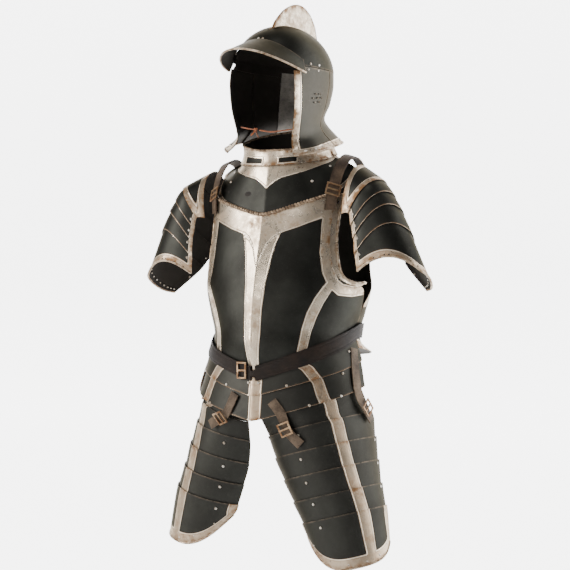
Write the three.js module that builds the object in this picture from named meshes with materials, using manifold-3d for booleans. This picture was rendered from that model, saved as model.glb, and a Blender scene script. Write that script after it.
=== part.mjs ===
// A black-and-white half armour: open burgonet, gorget, cuirass, fauld, tassets and pauldrons.
// Millimetres, +Z up. The wearer faces -Y and the wearer's left is +X. The origin is the middle
// of the neck at the height of the shoulders.
import * as THREE from "three";
import { mergeVertices } from "three/addons/utils/BufferGeometryUtils.js";
import Module from "manifold-3d";

const wasm = await Module();
wasm.setup();

// ---------------------------------------------------------------- driving dimensions
const STEEL = 1.8; // wall of every plate
const LEATHER = 2.4; // wall of every strap
const LAP = 3.3; // how far one plate stands over its neighbour
const SEAM = 0.4; // gap between pieces that touch

const HELMET_TURN = -6; // degrees, the helmet looks a little to the wearer's right
const HELMET_FORWARD = -34; // the skull's middle, ahead of the neck
const HELMET_LEAN = 5.5; // degrees, and leans a little to the wearer's left
const HELMET_SHIFT = -18; // so that the skull stays over the neck
const BELT_WIDTH = 27;
const STRAP_WIDTH = 20;
const LACE_DIAMETER = 3;

// Body of the cuirass, down from the neck: half width, depth in front, depth behind, and how
// far the middle ridge stands out in front.
const BODY = [
  { z: 0, half: 152, front: 94, back: 92, ridge: 2 },
  { z: -60, half: 166, front: 107, back: 116, ridge: 4 },
  { z: -110, half: 172, front: 115, back: 128, ridge: 6 },
  { z: -180, half: 178, front: 130, back: 134, ridge: 9 },
  { z: -250, half: 176, front: 143, back: 117, ridge: 12 },
  { z: -300, half: 163, front: 149, back: 106, ridge: 14 },
  { z: -338, half: 152, front: 151, back: 101, ridge: 15 },
  { z: -362, half: 155, front: 152, back: 101, ridge: 15 },
  { z: -388, half: 166, front: 150, back: 192, ridge: 12 },
  { z: -415, half: 174, front: 145, back: 196, ridge: 10 },
  { z: -460, half: 187, front: 150, back: 155, ridge: 7 },
  { z: -530, half: 204, front: 157, back: 160, ridge: 4 },
];

// Gorget, out from the rim of the collar: half width, depths, heights in front, at the side and
// behind, and how much more the collar rises behind the neck and under the right ear, where
// the helmet leans away from it.
const GORGET = [
  { s: 0, half: 94, front: 89, back: 73, zFront: 33, zSide: 48, zBack: 54, rise: 36, far: 18 },
  { s: 1, half: 93, front: 88, back: 74, zFront: 16, zSide: 37, zBack: 44, rise: 18, far: 9 },
  { s: 2, half: 101, front: 92, back: 80, zFront: 0, zSide: 24, zBack: 32, rise: 4, far: 0 },
  { s: 3, half: 118, front: 96, back: 88, zFront: -22, zSide: 17, zBack: 18, rise: 0, far: 0 },
  { s: 4, half: 138, front: 102, back: 98, zFront: -58, zSide: 10, zBack: -18, rise: 0, far: 0 },
  { s: 5, half: 156, front: 110, back: 112, zFront: -104, zSide: 0, zBack: -78, rise: 0, far: 0 },
];

// Walls of the helmet below the brow, down to the flange: half width, depths, and heights in
// front and behind.
const HELMET_WALL = [
  { s: 0, half: 95.5, front: 116, back: 122, zFront: 211, zBack: 211 },
  { s: 1, half: 97, front: 122, back: 125, zFront: 165, zBack: 180 },
  { s: 2, half: 93, front: 108, back: 120, zFront: 110, zBack: 150 },
  { s: 3, half: 87, front: 71, back: 111, zFront: 40, zBack: 118 },
  { s: 4, half: 118, front: 76, back: 168, zFront: 14, zBack: 76 },
];

// Thigh tubes below the fauld, from the fauld's edge to the knee: middle, half width, depth,
// and the angles of the inner and outer edges, measured from the front.
const THIGH = [
  { s: 0, x: 70, y: -14, z: -470, half: 106, depth: 128, inner: -48, outer: 112 },
  { s: 1, x: 80, y: -18, z: -525, half: 103, depth: 120, inner: -48, outer: 112 },
  { s: 2, x: 94, y: -25, z: -570, half: 99, depth: 112, inner: -54, outer: 112 },
  { s: 3, x: 111, y: -33, z: -615, half: 93, depth: 102, inner: -60, outer: 112 },
  { s: 4, x: 128, y: -38, z: -660, half: 87, depth: 93, inner: -62, outer: 110 },
  { s: 5, x: 146, y: -42, z: -706, half: 83, depth: 86, inner: -64, outer: 106 },
  { s: 6, x: 171, y: -46, z: -798, half: 76, depth: 76, inner: -58, outer: 98 },
];
const THIGH_TILT = 14; // degrees that the legs spread, and that their plates tilt

// Shoulder, out from the neck: the front corner, crown and back corner of each plate's edge,
// and how far the edge rises in front and falls behind.
const SHOULDER = [
  { s: 0, front: [160, -80, -100], crown: [172, -10, 2], back: [162, 74, -95], arch: 0 },
  { s: 1, front: [178, -82, -99], crown: [227, -26, -36], back: [184, 74, -106], arch: 4 },
  { s: 2, front: [184, -82, -124], crown: [247, -30, -62], back: [200, 68, -135], arch: 7 },
  { s: 3, front: [189, -82, -150], crown: [265, -34, -92], back: [222, 58, -168], arch: 11 },
  { s: 4, front: [191, -80, -182], crown: [286, -40, -136], back: [250, 45, -208], arch: 16 },
  { s: 5, front: [194, -75, -216], crown: [318, -47, -219], back: [298, 22, -253], arch: 22 },
];

// ---------------------------------------------------------------- materials
const finish = (color, roughness, metalness) =>
  new THREE.MeshStandardMaterial({ color, roughness, metalness, side: THREE.DoubleSide });
const blackSteel = finish(0x2b2d2e, 0.45, 0.8);
const brightSteel = finish(0xb9b3a8, 0.35, 0.9);
const brownLeather = finish(0x3a251a, 0.75, 0);
const oldIron = finish(0x4a3526, 0.6, 0.7);
const tarnishedLace = finish(0x9a4a1c, 0.85, 0);

// ---------------------------------------------------------------- helpers
const rad = THREE.MathUtils.degToRad;
const mix = THREE.MathUtils.lerp;

// Evenly spaced values from a to b.
function steps(a, b, count) {
  return Array.from({ length: count + 1 }, (_, i) => mix(a, b, i / count));
}

// The value of a column of a table where its key column is `at`, on a smooth curve.
function column(table, key, name, at, part) {
  const rising = table.at(-1)[key] > table[0][key] ? 1 : -1;
  const read = (i) => {
    const row = table[Math.min(Math.max(i, 0), table.length - 1)];
    return part === undefined ? row[name] : row[name][part];
  };
  let i = 0;
  while (i < table.length - 2 && (at - table[i + 1][key]) * rising > 0) i++;
  const t = (at - table[i][key]) / (table[i + 1][key] - table[i][key]);
  if (t < 0 || t > 1) return mix(read(i), read(i + 1), t);
  const before = (read(i + 1) - read(i - 1)) / 2;
  const after = (read(i + 2) - read(i)) / 2;
  const step = read(i + 1) - read(i);
  const a = before - step;
  const b = step - after;
  return read(i) + step * t + t * (1 - t) * (a * (1 - t) + b * t);
}

// Distance from the axis to an oval with the given half width and depth, at an angle from -Y.
function oval(angle, half, depth, power = 2.2) {
  const across = Math.abs(Math.sin(angle)) / half;
  const along = Math.abs(Math.cos(angle)) / depth;
  return (across ** power + along ** power) ** (-1 / power);
}

// Unit normal of a surface, on the side that `facing` gives.
function normalOf(surface, u, v, facing) {
  const e = 1e-3;
  const du = surface(u + e, v).sub(surface(u - e, v));
  const dv = surface(u, v + e).sub(surface(u, v - e));
  return du.cross(dv).normalize().multiplyScalar(facing);
}

// A closed wall over the stations us and vs of a surface, from `inner` to `outer` along its
// normal. Both may be numbers or functions of u and v. `closed` joins the last u to the first,
// and `capped` draws the first row together into a pole.
function wall(surface, us, vs, inner, outer, { facing = 1, closed = false, capped = false } = {}) {
  const reach = (value, u, v) => (typeof value === "function" ? value(u, v) : value);
  const points = [];
  for (const side of [outer, inner]) {
    for (const v of vs) {
      for (const u of us) {
        const normal = normalOf(surface, u, v, facing);
        points.push(surface(u, v).addScaledVector(normal, reach(side, u, v)));
      }
    }
  }
  const across = us.length;
  const sheet = across * vs.length;
  for (const start of capped ? [0, sheet] : []) {
    const pole = new THREE.Vector3();
    for (let i = 0; i < across; i++) pole.addScaledVector(points[start + i], 1 / across);
    for (let i = 0; i < across; i++) points[start + i].copy(pole);
  }
  const at = (layer, i, j) => layer * sheet + j * across + (i % across);
  const faces = [];
  const quad = (a, b, c, d) => {
    const straight = points[a].distanceTo(points[c]) <= points[b].distanceTo(points[d]);
    faces.push(...(straight ? [a, b, c, a, c, d] : [a, b, d, b, c, d]));
  };
  const spans = closed ? across : across - 1;
  for (let j = 0; j < vs.length - 1; j++) {
    for (let i = 0; i < spans; i++) {
      quad(at(0, i, j), at(0, i + 1, j), at(0, i + 1, j + 1), at(0, i, j + 1));
      quad(at(1, i, j), at(1, i, j + 1), at(1, i + 1, j + 1), at(1, i + 1, j));
    }
  }
  const last = vs.length - 1;
  for (let i = 0; i < spans; i++) {
    quad(at(0, i, 0), at(1, i, 0), at(1, i + 1, 0), at(0, i + 1, 0));
    quad(at(0, i, last), at(0, i + 1, last), at(1, i + 1, last), at(1, i, last));
  }
  for (let j = 0; !closed && j < last; j++) {
    quad(at(0, 0, j), at(0, 0, j + 1), at(1, 0, j + 1), at(1, 0, j));
    const end = across - 1;
    quad(at(0, end, j), at(1, end, j), at(1, end, j + 1), at(0, end, j + 1));
  }
  return closedBody(points, faces);
}

// A geometry from points and triangles, turned so that its faces point outwards.
function closedBody(points, faces) {
  let volume = 0;
  for (let i = 0; i < faces.length; i += 3) {
    const [a, b, c] = [points[faces[i]], points[faces[i + 1]], points[faces[i + 2]]];
    volume += a.dot(b.clone().cross(c));
  }
  const index = volume > 0 ? faces : faces.toReversed();
  const loose = new THREE.BufferGeometry().setFromPoints(points).setIndex(index);
  const merged = mergeVertices(loose, 1e-4);
  const kept = [];
  for (let i = 0; i < merged.index.count; i += 3) {
    const [a, b, c] = merged.index.array.slice(i, i + 3);
    if (a !== b && b !== c && c !== a) kept.push(a, b, c);
  }
  return merged.setIndex(kept);
}

// A geometry as a manifold solid, and a solid as a geometry.
function solidOf(geometry) {
  const bare = geometry.clone();
  bare.deleteAttribute("normal");
  bare.deleteAttribute("uv");
  const merged = mergeVertices(bare, 1e-4);
  const vertProperties = merged.attributes.position.array;
  const triVerts = new Uint32Array(merged.index.array);
  return new wasm.Manifold(new wasm.Mesh({ numProp: 3, vertProperties, triVerts }));
}

function geometryOf(solid) {
  const { vertProperties, triVerts } = solid.getMesh();
  return new THREE.BufferGeometry()
    .setAttribute("position", new THREE.BufferAttribute(vertProperties, 3))
    .setIndex(new THREE.BufferAttribute(triVerts, 1));
}

const armour = new THREE.Group();

function add(name, geometry, material, parent = armour) {
  const mesh = new THREE.Mesh(geometry, material);
  mesh.name = name;
  parent.add(mesh);
  return mesh;
}

// The same surface on the other side of the body.
function mirrored(surface, side) {
  return (u, v) => {
    const p = surface(u, v);
    p.x *= side;
    return p;
  };
}

const SIDES = [
  { name: "left", side: 1 },
  { name: "right", side: -1 },
];

// ---------------------------------------------------------------- cuirass
// A point of the body at an angle from the front, in degrees, and a height.
function body(degrees, z) {
  const angle = rad(degrees);
  const depth = Math.cos(angle) > 0 ? column(BODY, "z", "front", z) : column(BODY, "z", "back", z);
  const turned = Math.min(Math.abs(degrees), Math.abs(360 - degrees));
  const ridge = column(BODY, "z", "ridge", z) * Math.exp(-turned / 16);
  const r = oval(angle, column(BODY, "z", "half", z), depth) + ridge;
  return new THREE.Vector3(r * Math.sin(angle), -r * Math.cos(angle), z);
}

// A plate on the body, from rows that give the height at the middle, the height and the angle
// at its side edges. u runs from edge to edge, -1 to 1, and v from row to row.
function panel(rows, middle = 0, power = 1.6) {
  const table = rows.map((row, v) => ({ v, ...row }));
  return (u, v) => {
    const centre = column(table, "v", "centre", v);
    const edge = column(table, "v", "edge", v);
    const angle = column(table, "v", "angle", v);
    const z = mix(centre, edge, Math.abs(u) ** power);
    return body(middle + u * angle, z);
  };
}

const BREAST = [
  { centre: -420, edge: -336, angle: 89.6 },
  { centre: -372, edge: -292, angle: 89.6 },
  { centre: -322, edge: -250, angle: 85 },
  { centre: -265, edge: -242, angle: 71 },
  { centre: -205, edge: -218, angle: 60 },
  { centre: -150, edge: -150, angle: 58 },
  { centre: -100, edge: -56, angle: 66 },
];
const BACK = [
  { centre: -392, edge: -372, angle: 89.6 },
  { centre: -346, edge: -342, angle: 89.6 },
  { centre: -290, edge: -296, angle: 89.6 },
  { centre: -240, edge: -266, angle: 84 },
  { centre: -170, edge: -210, angle: 62 },
  { centre: -110, edge: -130, angle: 56 },
  { centre: -66, edge: -58, angle: 56 },
];
const breast = panel(BREAST, 0, 1.3);
const backOfBody = panel(BACK, 180);
const HALF_ACROSS = [-1, -0.86, -0.7, -0.55, -0.42, -0.3, -0.18, -0.08];
const acrossBody = [...HALF_ACROSS, 0, ...HALF_ACROSS.map((u) => -u).reverse()];
const BACK_ROWS = [0, 0.4, 0.8, 1.2, 1.6, 2, 3, 4, 5, 6];
const GUSSET_TOP = 5.9;
const GUSSET_FOOT = 2.2;

add("breastplate", wall(breast, acrossBody, steps(0, 6, 9), 0, STEEL), blackSteel);
add("backplate", wall(backOfBody, steps(-1, 1, 14), BACK_ROWS, 0, STEEL), blackSteel);
for (const { name, side } of SIDES) {
  const strip = (u, v) => breast(side * u, v);
  const gusset = wall(strip, [0.94, 1.02, 1.09], steps(GUSSET_FOOT, GUSSET_TOP, 7),
    -LAP, STEEL - LAP, { facing: side });
  add(`gusset_${name}`, gusset, brightSteel);
}

// ---------------------------------------------------------------- belt and fauld
// Height of the waist line round the body, pointed in front and level behind.
function waist(degrees) {
  const turned = Math.min(Math.abs(degrees), Math.abs(360 - degrees));
  return -409 + 87 * Math.min(turned / 92, 1) ** 1.1;
}
const BELT_OFFSET = 4.6;
const belt = (degrees, v) => body(degrees, waist(degrees) - v * BELT_WIDTH);
const roundBody = steps(-180, 180, 36).slice(0, -1);
add("belt", wall(belt, roundBody, [0, 1], BELT_OFFSET, BELT_OFFSET + LEATHER,
  { closed: true, facing: -1 }), brownLeather);

const FAULD = [
  { centre: -424, edge: -340, angle: 89.4 },
  { centre: -468, edge: -398, angle: 86 },
  { centre: -518, edge: -450, angle: 82 },
];
const fauld = panel(FAULD, 0, 1.15);
for (const [number, rows] of [[1, [0, 0.5, 0.82, 1]], [2, [0.82, 1, 1.5, 2]]]) {
  const tilt = (u, v) => (LAP * (v - rows[0])) / (number - rows[0]);
  const lame = wall(fauld, acrossBody, rows, tilt,
    (u, v) => tilt(u, v) + STEEL, { facing: -1 });
  add(`fauld_lame_${number}`, lame, blackSteel);
}

// ---------------------------------------------------------------- tassets
const PLATES = 6;

// The left thigh's tube. u runs from the inner edge, -1, to the outer edge, 1.
function thigh(u, s, hang) {
  const read = (name) => column(THIGH, "s", name, s);
  const turn = hang.turn * (1 - s / PLATES);
  const angle = rad(mix(read("inner") + turn, read("outer") + turn / 2, (u + 1) / 2));
  const r = oval(angle, read("half"), read("depth"), 2);
  const out = r * Math.sin(angle);
  const tilt = rad(THIGH_TILT);
  return new THREE.Vector3(
    read("x") + out * Math.cos(tilt) + mix(hang.shift, hang.spread, s / PLATES),
    read("y") - r * Math.cos(angle),
    read("z") + out * Math.sin(tilt) - hang.drop,
  );
}

// The left tasset: its first plate starts inside the fauld, and its last is rounded.
const TASSET_TOP = { v: 1.82, inner: 0.07, outer: 0.96 };
function tasset(u, s, hang) {
  if (s >= 5) {
    const short = 1 - (u < 0 ? 0.9 * u ** 2 : 0.45 * u ** 3);
    return thigh(u, 5 + (s - 5) * short, hang);
  }
  const low = thigh(u, Math.max(s, 1), hang);
  if (s >= 1) return low;
  const high = fauld(mix(TASSET_TOP.inner, TASSET_TOP.outer, (u + 1) / 2), TASSET_TOP.v);
  return high.lerp(low, s);
}

// How each tasset hangs on its straps: lower, to the side at its top and at its foot, and
// turned outwards at its top, in degrees.
const HANG = {
  left: { drop: 15, shift: 6, spread: 6, turn: 0 },
  right: { drop: -15, shift: -6, spread: 8, turn: 28 },
};
for (const { name, side } of SIDES) {
  const surface = mirrored((u, s) => tasset(u, s, HANG[name]), side);
  for (let plate = 1; plate <= PLATES; plate++) {
    const from = plate - 1.2;
    const rows = [from, plate - 1, plate - 0.5, plate];
    if (plate === 1) rows.splice(0, 3, 0, 0.5, 0.8);
    if (plate === PLATES) rows.splice(3, 0, plate - 0.2);
    const inner = (u, s) => (plate === 1 ? 1.5 * (s - 1) : (LAP * (plate - s)) / (plate - from));
    const lame = wall(surface, steps(-1, 1, 10), rows, inner,
      (u, s) => inner(u, s) + STEEL, { facing: -side });
    add(`tasset_${name}_${plate}`, lame, blackSteel);
  }
}

// ---------------------------------------------------------------- gorget
// A point of the gorget at an angle from the front, in degrees, and a row s of its table.
function gorget(degrees, s) {
  const angle = rad(degrees);
  const read = (name) => column(GORGET, "s", name, s);
  const inFront = Math.cos(angle) > 0;
  const ridge = (1 + s * 0.8) * Math.exp(-Math.abs(degrees) / 14);
  const r = oval(angle, read("half"), inFront ? read("front") : read("back")) + ridge;
  const share = Math.abs(Math.cos(angle)) ** 0.7;
  const behind = read("rise") * Math.max(-Math.cos(angle), 0) ** 1.3;
  const far = read("far") * Math.max(-Math.sin(angle), 0) ** 2;
  const level = mix(read("zSide"), inFront ? read("zFront") : read("zBack"), share);
  const z = level + behind + far;
  return new THREE.Vector3(r * Math.sin(angle), -r * Math.cos(angle), z);
}
const RING = [-89.5, -75, -60, -46, -33, -21, -10];
const frontRing = [...RING, 0, ...RING.map((a) => -a).reverse()];
const backRing = steps(90.5, 269.5, 12);
for (const [name, ring] of [["front", frontRing], ["back", backRing]]) {
  const collar = wall(gorget, ring, [0, 1, 1.95], LAP - STEEL, LAP, { facing: -1 });
  add(`collar_${name}`, collar, brightSteel);
  const plate = wall(gorget, ring, [1.7, 2.2, 3, 4, 5], -STEEL, 0, { facing: -1 });
  add(`gorget_${name}`, plate, blackSteel);
}

// ---------------------------------------------------------------- pauldrons
// The left shoulder. u is the angle over it, 0 at the front edge to 180 at the back edge.
function shoulder(u, s) {
  const corner = (name) =>
    new THREE.Vector3(...[0, 1, 2].map((part) => column(SHOULDER, "s", name, s, part)));
  const [front, crown, back] = ["front", "crown", "back"].map(corner);
  const middle = front.clone().add(back).multiplyScalar(0.5);
  const angle = rad(u);
  const behind = Math.max(-Math.cos(angle), 0) ** 1.5;
  const reach = Math.sin(angle) * (1 - 0.55 * behind) + 0.03 * Math.sin(3 * angle);
  const point = middle.clone().addScaledVector(front.sub(middle), Math.cos(angle));
  point.addScaledVector(crown.sub(middle), reach / 0.97);
  point.z += column(SHOULDER, "s", "arch", s) * Math.sin(2 * angle) * (u < 90 ? 1 : 0.3);
  return point;
}
const SHOULDER_PLATES = 5;
for (const { name, side } of SIDES) {
  const surface = mirrored(shoulder, side);
  for (let plate = 1; plate <= SHOULDER_PLATES; plate++) {
    const from = plate === 1 ? 0 : plate - 1.25;
    const inner = (u, s) => (LAP * (s - from)) / (plate - from);
    const rows = plate === 1 || plate >= 4 ? 3 : 2;
    const lame = wall(surface, steps(0, 180, 12), steps(from, plate, rows), inner,
      (u, s) => inner(u, s) + STEEL, { facing: -side });
    add(`pauldron_${name}_${plate}`, lame, plate === 1 ? brightSteel : blackSteel);
  }
}

// ---------------------------------------------------------------- helmet
// The helmet's own frame: its front is -Y, and its middle is on the Z axis.
const helmet = new THREE.Group();
helmet.position.set(HELMET_SHIFT, HELMET_FORWARD, 0);
helmet.rotation.set(0, rad(HELMET_LEAN), rad(HELMET_TURN), "ZYX");
armour.add(helmet);

// The skull: a dome from the crown, at 0 degrees, down.
const SKULL = { half: 97, front: 114, back: 125, middle: 193, rise: 104 };
function skull(degrees, down) {
  const around = rad(degrees);
  const fall = rad(down);
  const depth = Math.cos(around) > 0 ? SKULL.front : SKULL.back;
  const r = oval(around, SKULL.half, depth, 2.15) * Math.sin(fall);
  const z = SKULL.middle + SKULL.rise * Math.cos(fall);
  return new THREE.Vector3(r * Math.sin(around), -r * Math.cos(around), z);
}
// The brow line, in degrees down from the crown: it arches up over the face.
const BROW = { side: 80, arch: 21, from: 56 };
function brow(degrees) {
  const turned = Math.min(Math.abs(degrees), BROW.from) / BROW.from;
  return BROW.side - BROW.arch * Math.cos((turned * Math.PI) / 2);
}
const dome = (degrees, v) => skull(degrees, v * brow(degrees));
const roundHelmet = steps(-180, 180, 28).slice(0, -1);
const bowl = wall(dome, roundHelmet, [0, 0.18, 0.38, 0.58, 0.78, 1], -STEEL, 0,
  { closed: true, capped: true, facing: -1 });

// The comb stands on the skull's middle line, thick at its foot and thin at its edge.
const COMB = [
  { y: -60, top: 266 },
  { y: -42, top: 300 },
  { y: -15, top: 326 },
  { y: 18, top: 342 },
  { y: 52, top: 345 },
  { y: 84, top: 332 },
  { y: 106, top: 309 },
  { y: 119, top: 280 },
  { y: 125, top: 240 },
];
function comb(y, v) {
  const depth = y < 0 ? SKULL.front : SKULL.back;
  const arc = SKULL.rise * Math.sqrt(Math.max(0, 1 - (y / depth) ** 2)) - 1.2;
  const foot = SKULL.middle + Math.max(arc, 21);
  const top = Math.max(column(COMB, "y", "top", y), foot + 0.6);
  return new THREE.Vector3(0, y, mix(foot, top, v));
}
const combHalf = (y, v) => mix(7, 1.6, v ** 0.6);
const ridge = wall(comb, COMB.map((row) => row.y), [0, 0.5, 1], (y, v) => -combHalf(y, v), combHalf);
add("helmet_bowl", geometryOf(solidOf(bowl).add(solidOf(ridge))), blackSteel, helmet);

// The walls below the brow, out and down to the flange over the collar.
function helmetWall(degrees, s) {
  const angle = rad(degrees);
  const read = (name) => column(HELMET_WALL, "s", name, s);
  const r = oval(angle, read("half"), Math.cos(angle) > 0 ? read("front") : read("back"), 2.15);
  const z = mix(read("zBack"), read("zFront"), (1 + Math.cos(angle)) / 2);
  return new THREE.Vector3(r * Math.sin(angle), -r * Math.cos(angle), z);
}
// A cheek piece narrows towards the chin; its notch at the top clears the hinge of the brow.
const CHEEK = { front: 46, chin: 56, rear: 112, hinge: 64, notch: 0.36 };
function cheek(degrees, v) {
  const rise = THREE.MathUtils.smoothstep(degrees, CHEEK.hinge - 9, CHEEK.hinge);
  const top = mix(CHEEK.notch, 0.08, rise);
  const s = v < 0.75 ? mix(top, 3, v / 0.75) : mix(3, 4, (v - 0.75) * 4);
  const drawn = (CHEEK.rear - degrees) / (CHEEK.rear - CHEEK.front);
  return helmetWall(degrees + (CHEEK.chin - CHEEK.front) * drawn * Math.min(s / 3, 1), s);
}
const cheekAngles = [46, 50, 55, 60, 64, 76, 88, 100, 112];
for (const { name, side } of SIDES) {
  const surface = mirrored(cheek, side);
  const plate = wall(surface, cheekAngles, [0, 0.25, 0.5, 0.75, 0.9, 1], -STEEL, 0, { facing: -side });
  add(`cheek_${name}`, plate, blackSteel, helmet);
}
const nape = wall(helmetWall, steps(113.5, 246.5, 12), [0.06, 1, 2, 3, 3.5, 4], -STEEL, 0,
  { facing: -1 });
add("neck_guard", nape, blackSteel, helmet);

// The peak: from the brow line of the skull out to its own edge, temple to temple.
const PEAK = { half: 95, temple: -50, reach: 108, low: 195, rise: 34 };
function peak(degrees, v) {
  const angle = rad(degrees);
  const from = skull(degrees * 0.66, brow(degrees * 0.66) - 7);
  const lift = Math.max(Math.cos(angle), 0) ** 1.4;
  const edge = new THREE.Vector3(
    PEAK.half * Math.sin(angle),
    PEAK.temple - PEAK.reach * Math.cos(angle),
    PEAK.low + PEAK.rise * lift,
  );
  return from.lerp(edge, v);
}
const peakPlate = wall(peak, steps(-88, 88, 14), [0, 0.2, 0.6, 1], 0.5, 0.5 + STEEL, { facing: -1 });
add("helmet_peak", peakPlate, blackSteel, helmet);

// ---------------------------------------------------------------- straps and buckles
// A ribbon through rows of points, each with the direction across it. u runs across, v along.
function ribbon(rows, width) {
  const table = rows.map(([at, across], v) => ({ v, at: at.toArray(), across: across.toArray() }));
  const read = (name, v) =>
    new THREE.Vector3(...[0, 1, 2].map((part) => column(table, "v", name, v, part)));
  return (u, v) => read("at", v).addScaledVector(read("across", v).normalize(), (u * width) / 2);
}

// A rectangular buckle with a bar through its middle, flat on a surface at (u, v).
const BUCKLE = { bar: 3.2, thick: 2.2 };
function buckle(surface, u, v, lift, wide, tall, facing) {
  const box = (x0, y0, x1, y1, Kind = THREE.Shape) =>
    new Kind([[x0, y0], [x1, y0], [x1, y1], [x0, y1]].map(([x, y]) => new THREE.Vector2(x, y)));
  const frame = box(-wide / 2, -tall / 2, wide / 2, tall / 2);
  const { bar, thick } = BUCKLE;
  frame.holes.push(box(-wide / 2 + bar, -tall / 2 + bar, wide / 2 - bar, -bar / 2, THREE.Path));
  frame.holes.push(box(-wide / 2 + bar, bar / 2, wide / 2 - bar, tall / 2 - bar, THREE.Path));
  const geometry = new THREE.ExtrudeGeometry(frame, { depth: thick, bevelEnabled: false });
  const normal = normalOf(surface, u, v, facing);
  const along = surface(u, v + 1e-3).sub(surface(u, v - 1e-3)).normalize();
  const across = along.clone().cross(normal);
  const place = new THREE.Matrix4().makeBasis(across, along, normal);
  place.setPosition(surface(u, v).addScaledVector(normal, lift));
  return geometry.applyMatrix4(place);
}

const onBelt = BELT_OFFSET + LEATHER + 2.6;
const BELT_BUCKLE = { at: -9, across: 24, tall: BELT_WIDTH + 7 };
add("belt_buckle", buckle(belt, BELT_BUCKLE.at, 0.5, onBelt, BELT_BUCKLE.across,
  BELT_BUCKLE.tall, -1), oldIron);

// Shoulder straps: from the breastplate over the gorget to the backplate, left side.
const SHOULDER_STRAP = [
  [[134, -82, -92], [0.74, 0.67, 0]],
  [[137, -76, -58], [0.78, 0.6, -0.1]],
  [[140, -50, -8], [0.9, 0.3, -0.3]],
  [[141, -15, 19], [0.95, 0, -0.3]],
  [[141, 25, 19], [0.95, 0, -0.3]],
  [[141, 66, -12], [0.9, -0.3, -0.3]],
  [[139, 92, -56], [0.78, -0.6, -0.1]],
  [[138, 102, -88], [0.74, -0.67, 0]],
];
for (const { name, side } of SIDES) {
  const rows = SHOULDER_STRAP.map((row) => row.map((part) => new THREE.Vector3(...part)));
  const strap = mirrored(ribbon(rows, STRAP_WIDTH + 3), side);
  const leather = wall(strap, [-1, 0, 1], steps(0, 7, 14), 0, LEATHER, { facing: side });
  add(`shoulder_strap_${name}`, leather, brownLeather);
  const ring = buckle(strap, 0, 1.15, LEATHER + 0.6, STRAP_WIDTH + 11, 26, side);
  add(`shoulder_buckle_${name}`, ring, oldIron);
}

// Straps that hold each tasset to the fauld: where each starts on the fauld, crosses its
// edge, and lies on the tasset, as (u, v) of those surfaces.
const TASSET_STRAPS = {
  left_inner: { fauld: [[0.18, 1.35], [0.27, 2]], tasset: [[-0.46, 0.85], [-0.32, 1.55]] },
  left_outer: { fauld: [[0.9, 0.5], [0.9, 2]], tasset: [[0.72, 0.75], [0.72, 1.1]] },
  right_inner: { fauld: [[0.18, 1.1], [0.27, 2]], tasset: [[-0.62, 0.85], [-0.46, 1.55]] },
  right_outer: { fauld: [[0.9, 0.5], [0.9, 2]], tasset: [[0.72, 0.75], [0.72, 1.1]] },
};
const onPlates = LAP + STEEL + 2 * SEAM;
for (const { name, side } of SIDES) {
  const tassetHere = (u, s) => tasset(u, s, HANG[name]);
  for (const place of ["inner", "outer"]) {
    const path = TASSET_STRAPS[`${name}_${place}`];
    const lie = (surface, [u, v], offset) =>
      surface(u, v).addScaledVector(normalOf(surface, u, v, -1), offset);
    const points = [
      ...path.fauld.map((at) => lie(fauld, at, onPlates)),
      ...path.tasset.map((at) => lie(tassetHere, at, onPlates + 4)),
    ];
    const rows = points.map((at, i) => {
      const along = points[Math.min(i + 1, 3)].clone().sub(points[Math.max(i - 1, 0)]);
      const surface = i < 2 ? fauld : tassetHere;
      const [u, v] = i < 2 ? path.fauld[i] : path.tasset[i - 2];
      return [at, along.cross(normalOf(surface, u, v, -1)).normalize()];
    });
    const strap = mirrored(ribbon(rows, STRAP_WIDTH), side);
    const leather = wall(strap, [-1, 0, 1], steps(0, 3, 9), 0, LEATHER, { facing: side });
    add(`tasset_strap_${name}_${place}`, leather, brownLeather);
    const ring = buckle(strap, 0, 1.8, LEATHER + 5, STRAP_WIDTH + 8, 28, side);
    add(`tasset_buckle_${name}_${place}`, ring, oldIron);
  }
}

// ---------------------------------------------------------------- chin lace
// A lace along a curve through points of the helmet's frame.
function lace(points) {
  const curve = new THREE.CatmullRomCurve3(points.map((p) => new THREE.Vector3(...p)));
  const round = new THREE.Shape();
  const radius = LACE_DIAMETER / 2;
  round.setFromPoints(
    steps(0, 360, 8).slice(0, -1).map((a) => new THREE.Vector2(Math.cos(rad(a)), Math.sin(rad(a)))
      .multiplyScalar(radius)),
  );
  return new THREE.ExtrudeGeometry(round, { steps: 3 * points.length, extrudePath: curve });
}
const LACE = {
  left: [[66, -40, 82], [48, -50, 78], [20, -54, 74], [-7, -55, 76]],
  right: [[-66, -40, 82], [-50, -49, 80], [-32, -54, 78], [-17, -55, 77]],
  endShort: [[-17, -55, 77], [-20, -59, 70], [-25, -60, 64]],
  endLong: [[-17, -55, 77], [-11, -60, 70], [-3, -62, 61]],
};
const KNOT = { at: [-17, -55, 77], radius: 5 };
const knot = new THREE.SphereGeometry(KNOT.radius, 10, 7).translate(...KNOT.at);
const knotted = [LACE.endShort, LACE.endLong, LACE.right]
  .reduce((solid, points) => solid.add(solidOf(lace(points))), solidOf(knot));
add("chin_lace_left", lace(LACE.left), tarnishedLace, helmet);
add("chin_lace_right", geometryOf(knotted), tarnishedLace, helmet);

export default armour;
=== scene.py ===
# %% [markdown]
# # A black and white half armour
# The armour hangs in the air as it would on its wearer, with nobody inside. Every plate is a
# thin sheet of steel, so this lesson builds each one as a fine surface from the same few sizes
# that the solids use, and then gives it steel that knows where its own edges and bright bands
# are. The camera and the lace come first, because the frame's rules ask for them early.
#
# The camera stands a little below the breastplate's middle, turned so that the wearer's left
# side comes forward. Its lens is worked out from how wide the view is at the armour.

import math

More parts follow.
